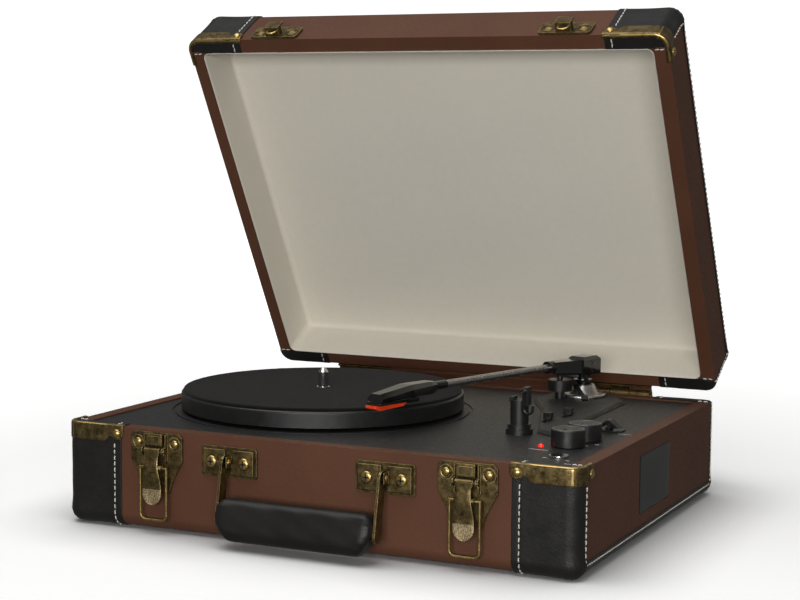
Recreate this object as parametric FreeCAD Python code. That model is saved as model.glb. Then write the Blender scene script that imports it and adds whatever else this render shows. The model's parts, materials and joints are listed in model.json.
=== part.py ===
import FreeCAD, Part
import math
import os

from FreeCAD import Vector

# Suitcase record player, standing on its feet with the lid open.
# Case frame: +X to the right, +Y to the back, +Z up, Z = 0 on the floor, X = Y = 0 under the
# middle of the case.  save() moves every piece by ORIGIN_SHIFT_Y, which puts the origin under
# the middle of the whole object, open lid and hanging handle included.

# ---------------------------------------------------------------- driving dimensions, mm
ORIGIN_SHIFT_Y = -7.2

CASE_W = 350.0
CASE_D = 282.0
RIM_Z = 66.0
FOOT_H = 3.0
CASE_BOTTOM = 0.8
WALL = 10.5
CORNER_R = 9.5
EDGE_R = 9.0
CAVITY_R = 5.0
SKIN = 0.5

LID_GAP = 1.6
LID_H = 42.0
LID_PANEL = 8.2
LINING = 0.8
LID_OPEN_DEG = 59.9
HINGE_Y = 147.2
HINGE_Z = 64.3
HINGE_X = 103.5
HINGE_LEN = 45.0
HINGE_PIN_R = 2.0
KNUCKLE_R = 4.0

LEATHER_FRONT = 133.0
LEATHER_SIDE = 14.0
BAND_H = 10.0

GUARD_T = 0.8
GUARD_FRONT = 131.6
GUARD_SIDE = 20.0
GUARD_Z = 55.5
GUARD_LIP = 0.6
GUARD_RIVET_Z = 61.0

LATCH_X = 106.0
LATCH_PIVOT_Z = 53.0
LATCH_LOOP_Z = 42.5
LATCH_LOOP_REACH = 33.3
LATCH_LEVER_END = 19.3
PLATE_T = 1.2

BRACKET_X = 53.3
HANDLE_PIVOT_Z = 51.0
HANDLE_PIVOT_OFF = 5.8
HANDLE_LEAN = 11.0
HANDLE_DROP = 34.5
HANDLE_ARM_X = 53.5
GRIP_HALF = 52.0

DECK_Z = 64.5
DECK_T = 3.0
BOARD_H = 2.6

SPINDLE_X = -57.0
SPINDLE_Y = -10.0
SPINDLE_R = 3.55
SPINDLE_TOP = 92.5
SHAFT_R = 4.5
PLATTER_R = 96.0
PLATTER_Z = 67.0
PLATTER_TOP = 77.6
MAT_T = 2.0
DRIVE_RIM_R = 62.0
PULLEY_R = 4.0
PULLEY_X = -57.0
PULLEY_Y = 70.0

PIVOT_X = 87.0
PIVOT_Y = 111.5
ARM_Z = 91.0
ARM_DEG = -17.05
ARM_TUBE_R = 2.5
STYLUS_REACH = 214.8
STYLUS_Z = 80.6

REST_X = 98.0
REST_Y = -40.0

KNOB_R = 10.5
KNOB_H = 10.4
VOLUME_XY = (140.7, -68.3)
TONE_XY = (143.0, -44.2)

CASE_FRONT = -CASE_D / 2
CASE_BACK = CASE_D / 2
CASE_SIDE = CASE_W / 2
BOARD_TOP = DECK_Z + BOARD_H
RUN_FIT = 0.05

UP = Vector(0, 0, 1)
X_AXIS = Vector(1, 0, 0)
Y_AXIS = Vector(0, 1, 0)


# ---------------------------------------------------------------- helpers
def save(name, *shapes):
    """Write one sub-part, a single solid or a group of separate solids."""
    shape = shapes[0] if len(shapes) == 1 else Part.makeCompound(list(shapes))
    shape = shape.copy()
    shape.translate(Vector(0, ORIGIN_SHIFT_Y, 0))
    shape.exportStep("parts/" + name + ".step")


def box(x0, x1, y0, y1, z0, z1):
    return Part.makeBox(x1 - x0, y1 - y0, z1 - z0, Vector(x0, y0, z0))


def rod(start, direction, length, radius):
    return Part.makeCylinder(radius, length, Vector(*start), direction)


def post(x, y, z0, z1, radius):
    return Part.makeCylinder(radius, z1 - z0, Vector(x, y, z0), UP)


def cone(x, y, z0, z1, r0, r1):
    return Part.makeCone(r0, r1, z1 - z0, Vector(x, y, z0), UP)


def fuse(*shapes):
    whole = shapes[0].multiFuse(list(shapes[1:]))
    return whole.removeSplitter()


def prism(points, direction):
    """A polygon of points, in order, pushed along a direction."""
    corners = [Vector(*p) for p in points]
    wire = Part.makePolygon(corners + [corners[0]])
    return Part.Face(wire).extrude(direction)


def edges_at(shape, z):
    return [e for e in shape.Edges if all(abs(v.Z - z) < 1e-6 for v in e.Vertexes)]


def upright_edges(shape):
    return [e for e in shape.Edges if abs(e.Vertexes[0].Z - e.Vertexes[-1].Z) > 1e-6
            and abs(e.Vertexes[0].X - e.Vertexes[-1].X) < 1e-6
            and abs(e.Vertexes[0].Y - e.Vertexes[-1].Y) < 1e-6]


def rounded_box(x0, x1, y0, y1, z0, z1, corner, edge=0.0, edge_z=None):
    """A box with rounded upright corners, and a rounded rim at edge_z if edge is given."""
    block = box(x0, x1, y0, y1, z0, z1)
    block = block.makeFillet(corner, upright_edges(block))
    if edge:
        block = block.makeFillet(edge, edges_at(block, edge_z))
    return block


def mirrored(shape):
    """The same piece on the other side of the case."""
    return shape.mirror(Vector(0, 0, 0), X_AXIS)


def dome(x, y, z, normal, radius, height):
    """A rivet head: a low dome on a face whose outward normal is given."""
    ball_r = (radius * radius + height * height) / (2 * height)
    centre = Vector(x, y, z) + normal * (height - ball_r)
    low = math.degrees(math.asin((ball_r - height) / ball_r))
    return Part.makeSphere(ball_r, centre, normal, low, 90)


def opened(shape):
    """Turn a piece of the closed lid up to the open position."""
    turned = shape.copy()
    turned.rotate(Vector(0, HINGE_Y, HINGE_Z), X_AXIS, -LID_OPEN_DEG)
    return turned


# ---------------------------------------------------------------- base case
def base_block(grow, top):
    return rounded_box(-CASE_SIDE - grow, CASE_SIDE + grow, CASE_FRONT - grow, CASE_BACK + grow,
                       CASE_BOTTOM - grow, top, CORNER_R + grow, EDGE_R + grow, CASE_BOTTOM - grow)


def base_cavity(gap=0.0):
    inset = WALL + gap
    return rounded_box(-CASE_SIDE + inset, CASE_SIDE - inset, CASE_FRONT + inset,
                       CASE_BACK - inset, -10.0, RIM_Z + 10.0, CAVITY_R)


GRILLE_Y0 = -31.0
GRILLE_Y1 = 33.0
GRILLE_Z0 = 18.0
GRILLE_Z1 = 55.0
JACK_HALF = 42.0
JACK_Z0 = 20.0
JACK_Z1 = 40.0


def grille_block(x0, x1, gap):
    block = box(x0, x1, GRILLE_Y0 + gap, GRILLE_Y1 - gap, GRILLE_Z0 + gap, GRILLE_Z1 - gap)
    lengthwise = [e for e in block.Edges if abs(e.Vertexes[0].X - e.Vertexes[-1].X) > 1e-6]
    return block.makeFillet(2.5, lengthwise)


def make_base():
    case = base_block(-SKIN, RIM_Z - SKIN).cut(base_cavity())
    right_port = grille_block(CASE_SIDE - WALL - 1, CASE_SIDE + 1, 0)
    jack_port = box(-JACK_HALF, JACK_HALF, CASE_BACK - WALL - 1, CASE_BACK + 1, JACK_Z0, JACK_Z1)
    case = case.cut(right_port).cut(mirrored(right_port)).cut(jack_port)
    block = box(-CASE_SIDE + WALL - 1, -CASE_SIDE + WALL + 16, CASE_FRONT + WALL - 1,
                CASE_FRONT + WALL + 16, FOOT_H + 4.0, DECK_Z - DECK_T)
    rear = block.mirror(Vector(0, 0, 0), Y_AXIS)
    save("base_case", fuse(case, block, rear, mirrored(block), mirrored(rear)))

    floor = base_cavity(0.1).common(box(-CASE_SIDE, CASE_SIDE, CASE_FRONT, CASE_BACK,
                                        FOOT_H, FOOT_H + 4.0))
    save("base_bottom_panel", floor)

    feet = [post(x, y, 0, FOOT_H, 9.0).cut(post(x, y, -1, 1.0, 2.5))
            for x in (-140, 140) for y in (-108, 108)]
    save("rubber_feet", *feet)


def corner_skins(skin):
    """The parts of a thin skin that cover the four upright corners of the case."""
    region = box(LEATHER_FRONT, CASE_SIDE + 5, CASE_FRONT - 5, CASE_FRONT + LEATHER_SIDE, -1, 130)
    rear = region.mirror(Vector(0, 0, 0), Y_AXIS)
    return [skin.common(r) for r in (mirrored(region), region, mirrored(rear), rear)]


def side_bands(skin, z0, z1):
    """The strips of a thin skin between the leather corners, on the left and right sides."""
    right = skin.common(box(CASE_SIDE - 12, CASE_SIDE + 1, CASE_FRONT + LEATHER_SIDE,
                            CASE_BACK - LEATHER_SIDE, z0, z1))
    return [mirrored(right), right]


def make_base_leather():
    skin = base_block(0, RIM_Z).cut(base_block(-SKIN, RIM_Z - SKIN)).cut(base_cavity())
    save("base_corner_leather", *corner_skins(skin))
    save("base_side_bands", *side_bands(skin, 0, CASE_BOTTOM + BAND_H))


# ---------------------------------------------------------------- corner guards
def guard(outer, inner, hollow, z_edge, z_rim, rim_up):
    """A pressed brass guard round a front corner, with a folded lip over the rim."""
    z0, z1 = min(z_edge, z_rim + rim_up), max(z_edge, z_rim + rim_up)
    region = box(GUARD_FRONT, CASE_SIDE + 5, CASE_FRONT - 5, CASE_FRONT + GUARD_SIDE, z0, z1)
    plate = outer.cut(inner).cut(hollow).common(region)
    notch_z = z_edge + (1.0 if rim_up > 0 else -1.0)
    notch = rod((GUARD_FRONT + 9.4, CASE_FRONT - 5, notch_z), Y_AXIS, 8, 2.6)
    plate = plate.cut(notch)
    rivet_z = z_rim + (GUARD_RIVET_Z - RIM_Z if rim_up > 0 else RIM_Z - GUARD_RIVET_Z)
    front_rivet = dome(GUARD_FRONT + 4.6, CASE_FRONT - GUARD_T, rivet_z, Y_AXIS * -1, 2.1, 1.0)
    side_rivet = dome(CASE_SIDE + GUARD_T, CASE_FRONT + GUARD_SIDE - 5, rivet_z, X_AXIS, 2.1, 1.0)
    return fuse(plate, front_rivet, side_rivet)


def lip_hollow(z0, z1):
    inset = 4.0
    return rounded_box(-CASE_SIDE + inset, CASE_SIDE - inset, CASE_FRONT + inset,
                       CASE_BACK - inset, z0, z1, CORNER_R - inset)


def make_base_guards():
    outer = base_block(GUARD_T, RIM_Z + GUARD_LIP)
    right = guard(outer, base_block(0, RIM_Z), lip_hollow(RIM_Z - 1, RIM_Z + 5),
                  GUARD_Z, RIM_Z, GUARD_LIP)
    save("base_corner_guards", mirrored(right), right)


# ---------------------------------------------------------------- lid
LID_Z0 = RIM_Z + LID_GAP
LID_Z1 = LID_Z0 + LID_H


def lid_block(grow, bottom):
    return rounded_box(-CASE_SIDE - grow, CASE_SIDE + grow, CASE_FRONT - grow, CASE_BACK + grow,
                       bottom, LID_Z1 + grow, CORNER_R + grow, EDGE_R + grow, LID_Z1 + grow)


def lid_cavity(inset, top):
    return rounded_box(-CASE_SIDE + inset, CASE_SIDE - inset, CASE_FRONT + inset,
                       CASE_BACK - inset, LID_Z0 - 10, top, CAVITY_R)


def make_lid():
    roof = LID_Z1 - LID_PANEL
    case = lid_block(-SKIN, LID_Z0 + SKIN).cut(lid_cavity(WALL, roof))
    save("lid_case", opened(case))
    lining = lid_cavity(WALL + 0.1, roof - 0.1).cut(lid_cavity(WALL + LINING, roof - LINING))
    below = box(-CASE_W, CASE_W, -CASE_D, CASE_D, 0, LID_Z0 + SKIN)
    save("lid_lining", opened(lining.cut(below)))

    skin = lid_block(0, LID_Z0).cut(lid_block(-SKIN, LID_Z0 + SKIN)).cut(lid_cavity(WALL, roof))
    save("lid_corner_leather", *[opened(p) for p in corner_skins(skin)])
    save("lid_side_bands", *[opened(p) for p in side_bands(skin, LID_Z1 - BAND_H, LID_Z1 + 1)])

    outer = lid_block(GUARD_T, LID_Z0 - GUARD_LIP)
    z_edge = LID_Z0 + RIM_Z - GUARD_Z
    right_guard = guard(outer, lid_block(0, LID_Z0), lip_hollow(LID_Z0 - 5, LID_Z0 + 1),
                        z_edge, LID_Z0, -GUARD_LIP)
    save("lid_corner_guards", opened(mirrored(right_guard)), opened(right_guard))


# ---------------------------------------------------------------- lid hinges
def knuckle(x0, x1):
    barrel = rod((x0, HINGE_Y, HINGE_Z), X_AXIS, x1 - x0, KNUCKLE_R)
    return barrel.cut(rod((x0 - 1, HINGE_Y, HINGE_Z), X_AXIS, x1 - x0 + 2,
                          HINGE_PIN_R + RUN_FIT))


def leaf_arm(x0, x1, z0, z1):
    arm = box(x0, x1, CASE_BACK, HINGE_Y, z0, z1)
    return arm.cut(rod((x0 - 1, HINGE_Y, HINGE_Z), X_AXIS, x1 - x0 + 2, KNUCKLE_R - 0.6))


def screw_heads(x, zs):
    heads = []
    for dx in (-14.0, 14.0):
        for z in zs:
            heads.append(dome(x + dx, CASE_BACK + PLATE_T, z, Y_AXIS, 2.6, 1.2))
    return heads


def make_hinges():
    third = HINGE_LEN / 3
    base_leaves, lid_leaves, pins, base_screws, lid_screws = [], [], [], [], []
    for x in (-HINGE_X, HINGE_X):
        x0 = x - HINGE_LEN / 2
        x1 = x + HINGE_LEN / 2
        plate = box(x0, x1, CASE_BACK, CASE_BACK + PLATE_T, 40.0, HINGE_Z - KNUCKLE_R + PLATE_T)
        leaf = [plate]
        for a, b in ((x0, x0 + third - 0.2), (x1 - third + 0.2, x1)):
            leaf.append(leaf_arm(a, b, HINGE_Z - KNUCKLE_R, HINGE_Z - KNUCKLE_R + PLATE_T))
            leaf.append(knuckle(a, b))
        base_leaves.append(fuse(*leaf))
        arm_z = HINGE_Z + KNUCKLE_R
        plate = box(x0, x1, CASE_BACK, CASE_BACK + PLATE_T, arm_z - PLATE_T, 88.0)
        a, b = x0 + third + 0.2, x1 - third - 0.2
        lid_leaves.append(opened(fuse(plate, leaf_arm(a, b, arm_z - PLATE_T, arm_z),
                                      knuckle(a, b))))
        pins.append(rod((x0 - 1, HINGE_Y, HINGE_Z), X_AXIS, HINGE_LEN + 2, HINGE_PIN_R))
        base_screws += screw_heads(x, (46.0, 54.0))
        lid_screws += [opened(s) for s in screw_heads(x, (75.0, 82.0))]
    save("hinge_base_leaves", *base_leaves)
    save("hinge_lid_leaves", *lid_leaves)
    save("hinge_pins", *pins)
    save("hinge_base_screws", *base_screws)
    save("hinge_lid_screws", *lid_screws)


# ---------------------------------------------------------------- draw latches
LATCH_PIN_Y = CASE_FRONT - 5.0
LOOP_Y = CASE_FRONT - 4.9
LEVER_HALF = 6.5
LOOP_HALF = 9.5
WIRE_R = 0.9


def latch_plate(x):
    y = CASE_FRONT
    outline = [(x - 19.0, y, 64.4), (x + 19.0, y, 64.4), (x + 19.0, y, 46.5),
               (x + 9.5, y, 26.0), (x - 9.5, y, 26.0), (x - 19.0, y, 46.5)]
    plate = prism(outline, Vector(0, -PLATE_T, 0))
    cover = box(x - 6.2, x + 6.2, y - 4.6, y - PLATE_T + 0.1, LATCH_PIVOT_Z + 3.0, 64.0)
    ears = []
    for side in (-1, 1):
        x0 = x + side * (LEVER_HALF + 0.9) - 0.6
        ear = box(x0, x0 + 1.2, LATCH_PIN_Y - 2.6, y - PLATE_T + 0.2, LATCH_PIVOT_Z - 5,
                  LATCH_PIVOT_Z + 2.6)
        ears.append(ear)
    pin = rod((x - LEVER_HALF - 1.2, LATCH_PIN_Y, LATCH_PIVOT_Z), X_AXIS,
              2 * LEVER_HALF + 2.4, 1.0)
    rivets = [dome(x + dx, y - PLATE_T, 58.1, Y_AXIS * -1, 2.8, 1.2) for dx in (-13.8, 13.8)]
    return fuse(plate, cover, *ears, pin, *rivets)


def latch_lever(x):
    """Sheet lever with a round spoon end, a hinge barrel and a barrel for the loop."""
    front = CASE_FRONT - 7.8
    back = front + 1.6
    neck = box(x - LEVER_HALF, x + LEVER_HALF, front, back, LATCH_LEVER_END + LEVER_HALF,
               LATCH_PIVOT_Z)
    spoon = rod((x, front, LATCH_LEVER_END + LEVER_HALF), Y_AXIS, 1.6, LEVER_HALF)
    hinge = rod((x - LEVER_HALF, LATCH_PIN_Y, LATCH_PIVOT_Z), X_AXIS, 2 * LEVER_HALF, 2.4)
    barrel = rod((x - LEVER_HALF, LOOP_Y, LATCH_LOOP_Z), X_AXIS, 2 * LEVER_HALF, 1.9)
    lever = fuse(neck, spoon, hinge, barrel)
    pin_bore = rod((x - 10, LATCH_PIN_Y, LATCH_PIVOT_Z), X_AXIS, 20, 1.0 + RUN_FIT)
    wire_bore = rod((x - 10, LOOP_Y, LATCH_LOOP_Z), X_AXIS, 20, WIRE_R + RUN_FIT)
    return lever.cut(pin_bore).cut(wire_bore)


def latch_loop(x):
    """Bent wire loop hanging from the lever's barrel."""
    bend = 4.0
    top = LATCH_LOOP_Z
    low = LATCH_LOOP_Z - LATCH_LOOP_REACH
    half = LOOP_HALF
    corner = bend * math.sin(math.radians(45))
    lines = []

    def point(px, pz):
        return Vector(x + px, LOOP_Y, pz)

    lines.append(Part.LineSegment(point(-3.0, top), point(-half, top)))
    lines.append(Part.LineSegment(point(-half, top), point(-half, low + bend)))
    lines.append(Part.Arc(point(-half, low + bend),
                          point(-half + bend - corner, low + bend - corner),
                          point(-half + bend, low)))
    lines.append(Part.LineSegment(point(-half + bend, low), point(half - bend, low)))
    lines.append(Part.Arc(point(half - bend, low),
                          point(half - bend + corner, low + bend - corner),
                          point(half, low + bend)))
    lines.append(Part.LineSegment(point(half, low + bend), point(half, top)))
    lines.append(Part.LineSegment(point(half, top), point(3.0, top)))
    path = Part.Wire([s.toShape() for s in lines])
    circle = Part.Wire(Part.Circle(point(-3.0, top), X_AXIS, WIRE_R).toShape())
    return path.makePipeShell([circle], True, False, 1)


def lid_catch(x):
    """Catch plate on the lid's front wall, with the hook that the loop pulls down on."""
    y = CASE_FRONT
    z0 = LID_Z0 + 1.0
    plate = box(x - 18.0, x + 18.0, y - PLATE_T, y, z0, z0 + 14.5)
    plate = plate.makeFillet(3.0, [e for e in plate.Edges
                                   if abs(e.Vertexes[0].Y - e.Vertexes[-1].Y) > 1e-6])
    ledge_top = LATCH_LOOP_Z + LATCH_LOOP_REACH - WIRE_R - 0.3
    ledge = box(x - 5.3, x + 5.3, y - 7.6, y - PLATE_T, z0 + 1.0, ledge_top)
    lip = box(x - 5.3, x + 5.3, y - 7.6, y - 6.4, ledge_top - 0.5, ledge_top + 4.0)
    rivets = [dome(x + dx, y - PLATE_T, z0 + 7.2, Y_AXIS * -1, 3.2, 1.0) for dx in (-12, 12)]
    return opened(fuse(plate, ledge, lip, *rivets))


def make_latches():
    save("latch_plates", latch_plate(-LATCH_X), latch_plate(LATCH_X))
    save("lid_catches", lid_catch(-LATCH_X), lid_catch(LATCH_X))
    for side, x in (("left", -LATCH_X), ("right", LATCH_X)):
        save("latch_lever_" + side, latch_lever(x))
        save("latch_loop_" + side, latch_loop(x))


# ---------------------------------------------------------------- carrying handle
HANDLE_PIVOT_Y = CASE_FRONT - HANDLE_PIVOT_OFF


def handle_bracket(x):
    y = CASE_FRONT
    base = box(x - 19.6, x + 19.6, y - PLATE_T, y, 40.4, 59.5)
    base = base.makeChamfer(1.5, [e for e in base.Edges
                                  if abs(e.Vertexes[0].Y - e.Vertexes[-1].Y) > 1e-6])
    pads = []
    for side in (-1, 1):
        cx = x + side * 11.6
        pad = box(cx - 6.2, cx + 6.2, y - PLATE_T - 1.8, y - PLATE_T + 0.1, 42.4, 57.5)
        rim = [e for e in pad.Edges
               if all(abs(v.Y - (y - PLATE_T - 1.8)) < 1e-6 for v in e.Vertexes)]
        pads.append(pad.makeChamfer(1.2, rim))
    arm_x = math.copysign(HANDLE_ARM_X, x)
    cheeks = []
    for side in (-1, 1):
        cx = arm_x + side * 2.2
        cheek = box(cx - 0.7, cx + 0.7, HANDLE_PIVOT_Y - 1.0, y - PLATE_T + 0.1,
                    HANDLE_PIVOT_Z - 4.0, HANDLE_PIVOT_Z + 4.0)
        tip = rod((cx - 0.7, HANDLE_PIVOT_Y - 1.0, HANDLE_PIVOT_Z), X_AXIS, 1.4, 4.0)
        cheeks.append(cheek.fuse(tip))
    pin = rod((arm_x - 3.6, HANDLE_PIVOT_Y, HANDLE_PIVOT_Z), X_AXIS, 7.2, 1.5)
    return fuse(base, *pads, *cheeks, pin)


def lean(shape):
    turned = shape.copy()
    turned.rotate(Vector(0, HANDLE_PIVOT_Y, HANDLE_PIVOT_Z), X_AXIS, -HANDLE_LEAN)
    return turned


def make_handle():
    y = HANDLE_PIVOT_Y
    grip_z = HANDLE_PIVOT_Z - HANDLE_DROP
    arms = []
    for x in (-HANDLE_ARM_X, HANDLE_ARM_X):
        strip = box(x - 0.75, x + 0.75, y - 4.6, y + 4.2, grip_z, HANDLE_PIVOT_Z)
        eye = rod((x - 0.75, y, HANDLE_PIVOT_Z), X_AXIS, 1.5, 4.2)
        foot = rod((x - 0.75, y - 0.2, grip_z), X_AXIS, 1.5, 4.4)
        arms.append(fuse(strip, eye, foot))
    core = rod((-HANDLE_ARM_X, y - 0.2, grip_z), X_AXIS, 2 * HANDLE_ARM_X, 3.0)
    frame = fuse(*arms, core)
    frame = frame.cut(rod((-60, y, HANDLE_PIVOT_Z), X_AXIS, 120, 1.5 + RUN_FIT))
    save("handle_frame", lean(frame))

    top = grip_z + 13.5
    low = grip_z - 13.0
    grip = prism([(-GRIP_HALF, y - 11.0, top), (GRIP_HALF, y - 11.0, top),
                  (GRIP_HALF, y - 11.0, grip_z - 3), (GRIP_HALF - 10, y - 11.0, low),
                  (-GRIP_HALF + 10, y - 11.0, low), (-GRIP_HALF, y - 11.0, grip_z - 3)],
                 Vector(0, 20.0, 0))
    grip = grip.makeFillet(6.0, [e for e in grip.Edges
                                 if abs(e.Vertexes[0].X - e.Vertexes[-1].X) > 60])
    grip = grip.cut(rod((-60, y - 0.2, grip_z), X_AXIS, 120, 3.3))
    save("handle_grip", lean(grip))
    save("handle_brackets", handle_bracket(-BRACKET_X), handle_bracket(BRACKET_X))
    screws = []
    for bracket_x in (-BRACKET_X, BRACKET_X):
        for dx in (-12.2, 12.2):
            head = dome(bracket_x + dx, CASE_FRONT - PLATE_T - 1.8, 49.9, Y_AXIS * -1, 3.6, 1.5)
            slot_a = box(bracket_x + dx - 2.0, bracket_x + dx + 2.0, CASE_FRONT - 10,
                         CASE_FRONT - PLATE_T - 2.6, 49.5, 50.3)
            slot_b = box(bracket_x + dx - 0.4, bracket_x + dx + 0.4, CASE_FRONT - 10,
                         CASE_FRONT - PLATE_T - 2.6, 47.9, 51.9)
            screws.append(head.cut(slot_a).cut(slot_b))
    save("handle_screws", *screws)


# ---------------------------------------------------------------- deck and drive
def make_deck():
    deck = base_cavity(0.2).common(box(-CASE_SIDE, CASE_SIDE, CASE_FRONT, CASE_BACK,
                                       DECK_Z - DECK_T, DECK_Z))
    groove = post(SPINDLE_X, SPINDLE_Y, DECK_Z - 0.8, DECK_Z + 1, PLATTER_R + 6)
    groove = groove.cut(post(SPINDLE_X, SPINDLE_Y, DECK_Z - 2, DECK_Z + 2, PLATTER_R + 4))
    holes = [post(SPINDLE_X, SPINDLE_Y, 50, 70, 8.0), post(PULLEY_X, PULLEY_Y, 50, 70, 8.0),
             post(PIVOT_X, PIVOT_Y, 50, 70, 6.0), post(126.5, -77.0, 50, 70, 1.75),
             post(147.5, -103.0, 50, 70, 5.0)]
    holes += [post(x, y, 50, 70, 3.5) for x, y in (VOLUME_XY, TONE_XY)]
    deck = deck.cut(groove)
    for hole in holes:
        deck = deck.cut(hole)
    save("motor_board", deck)

    outline = [(108, -34), (123, -44), (122, 30), (121.5, 103), (106, 128.5), (72, 128.5),
               (60.5, 112), (60.5, 84), (80, 47), (91, 15)]
    board = prism([(x, y, DECK_Z) for x, y in outline], Vector(0, 0, BOARD_H))
    board = board.makeChamfer(2.2, edges_at(board, BOARD_TOP))
    board = board.cut(post(PIVOT_X, PIVOT_Y, 50, 80, 6.0))
    board = board.cut(box(100.2, 103.4, -8, 12, DECK_Z + 0.6, 80))
    board = board.cut(box(105.4, 108.6, 16, 36, DECK_Z + 0.6, 80))
    save("tonearm_board", board)


def make_drive():
    bearing = fuse(post(SPINDLE_X, SPINDLE_Y, 40, DECK_Z - DECK_T, 6.0),
                   post(SPINDLE_X, SPINDLE_Y, DECK_Z - DECK_T - 2, DECK_Z - DECK_T, 11.0),
                   post(SPINDLE_X, SPINDLE_Y, DECK_Z - DECK_T, DECK_Z + 0.8, 7.9))
    bearing = bearing.cut(post(SPINDLE_X, SPINDLE_Y, 42, 80, SHAFT_R + RUN_FIT))
    save("spindle_bearing", bearing)

    mat_top = PLATTER_TOP + MAT_T
    spindle = fuse(post(SPINDLE_X, SPINDLE_Y, 43, mat_top, SHAFT_R),
                   post(SPINDLE_X, SPINDLE_Y, mat_top, SPINDLE_TOP - 3, SPINDLE_R),
                   cone(SPINDLE_X, SPINDLE_Y, SPINDLE_TOP - 3, SPINDLE_TOP, SPINDLE_R, 1.4))
    save("spindle", spindle)

    disc = post(SPINDLE_X, SPINDLE_Y, PLATTER_Z, PLATTER_TOP, PLATTER_R)
    disc = disc.makeFillet(1.5, edges_at(disc, PLATTER_TOP))
    under = post(SPINDLE_X, SPINDLE_Y, PLATTER_Z - 1, PLATTER_TOP - 2.4, PLATTER_R - 3)
    ring = post(SPINDLE_X, SPINDLE_Y, PLATTER_Z, PLATTER_TOP - 2, DRIVE_RIM_R)
    ring = ring.cut(post(SPINDLE_X, SPINDLE_Y, 60, 90, DRIVE_RIM_R - 2.5))
    hub = post(SPINDLE_X, SPINDLE_Y, PLATTER_Z, PLATTER_TOP - 2, 9.0)
    platter = fuse(disc.cut(under), ring, hub)
    platter = platter.cut(post(SPINDLE_X, SPINDLE_Y, 60, 90, SHAFT_R))
    save("platter", platter)

    mat = post(SPINDLE_X, SPINDLE_Y, PLATTER_TOP, mat_top, PLATTER_R - 1.5)
    mat = mat.cut(post(SPINDLE_X, SPINDLE_Y, 60, 90, SHAFT_R + 0.4))
    save("slip_mat", mat)

    save("drive_motor", fuse(post(PULLEY_X, PULLEY_Y, 32, 58, 16.0),
                             post(PULLEY_X, PULLEY_Y, 58, 60.5, 5.0),
                             box(PULLEY_X - 24, PULLEY_X + 24, PULLEY_Y - 8, PULLEY_Y + 8,
                                 56.5, 58.0)).cut(post(PULLEY_X, PULLEY_Y, 45, 70, 1.05)))
    pulley = fuse(post(PULLEY_X, PULLEY_Y, 46, 73, 1.0),
                  post(PULLEY_X, PULLEY_Y, 65.2, 73.0, PULLEY_R),
                  post(PULLEY_X, PULLEY_Y, 65.2, 66.0, PULLEY_R + 1.5))
    save("motor_pulley", pulley)
    save("drive_belt", belt())


def belt():
    """Flat belt round the platter's drive ring and the motor pulley."""
    z0, z1 = 68.4, 72.4
    far = PULLEY_Y - SPINDLE_Y
    outer_r, inner_r = 0.9, 0.06

    def hull(extra):
        r0 = DRIVE_RIM_R + extra
        r1 = PULLEY_R + extra
        lean_angle = math.acos((r0 - r1) / far)
        big = post(SPINDLE_X, SPINDLE_Y, z0, z1, r0)
        small = post(PULLEY_X, PULLEY_Y, z0, z1, r1)
        sx, sy = math.sin(lean_angle), math.cos(lean_angle)
        web = prism([(SPINDLE_X - r0 * sx, SPINDLE_Y + r0 * sy, z0),
                     (PULLEY_X - r1 * sx, PULLEY_Y + r1 * sy, z0),
                     (PULLEY_X + r1 * sx, PULLEY_Y + r1 * sy, z0),
                     (SPINDLE_X + r0 * sx, SPINDLE_Y + r0 * sy, z0)], Vector(0, 0, z1 - z0))
        return fuse(big, small, web)

    return hull(outer_r).cut(hull(inner_r))


# ---------------------------------------------------------------- tonearm
def along_arm(shape):
    """Turn a piece made with the arm pointing straight forward to the arm's real angle."""
    turned = shape.copy()
    turned.rotate(Vector(PIVOT_X, PIVOT_Y, 0), UP, ARM_DEG)
    return turned


def arm_box(side, reach0, reach1, z0, z1):
    """A block centred on the arm, between two distances forward of the pivot."""
    return box(PIVOT_X - side, PIVOT_X + side, PIVOT_Y - reach1, PIVOT_Y - reach0, z0, z1)


def arm_section(reach, half_top, half_side, z_top, z_side, z_low, half_low):
    """An eight-cornered cross-section of the headshell, facing along the arm."""
    pairs = [(half_top, z_top), (half_side, z_side), (half_side, z_low + 1.0), (half_low, z_low)]
    right = [(PIVOT_X + a, PIVOT_Y - reach, z) for a, z in pairs]
    left = [(PIVOT_X - a, PIVOT_Y - reach, z) for a, z in reversed(pairs)]
    corners = [Vector(*p) for p in right + left]
    return Part.makePolygon(corners + [corners[0]])


LIFT_R = 22.0
LIFT_Z = 84.9
HOUSING_XY = (76.5, 93.5)
CUE_PIVOT_Z = 76.5
CUE_DIR_DEG = 30.0


def make_tonearm_base():
    flange = post(PIVOT_X, PIVOT_Y, BOARD_TOP, BOARD_TOP + 2.2, 17.0)
    flange = flange.makeFillet(1.2, edges_at(flange, BOARD_TOP + 2.2))
    base = fuse(flange, cone(PIVOT_X, PIVOT_Y, BOARD_TOP + 2.2, BOARD_TOP + 8.4, 12.0, 8.2),
                post(PIVOT_X, PIVOT_Y, 56.0, BOARD_TOP, 5.9))
    base = base.cut(post(PIVOT_X, PIVOT_Y, 50, 90, 4.0 + RUN_FIT))
    save("tonearm_base", base)

    column = fuse(post(PIVOT_X, PIVOT_Y, 56.5, 82.0, 4.0), post(PIVOT_X, PIVOT_Y, 76.2, 79.0, 6.6))
    head = arm_box(3.4, -3.4, 3.4, 81.0, 93.0)
    yoke = along_arm(fuse(column, head, rod((PIVOT_X - 7.2, PIVOT_Y, ARM_Z), X_AXIS, 14.4, 1.2)))
    save("tonearm_yoke", yoke)


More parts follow.
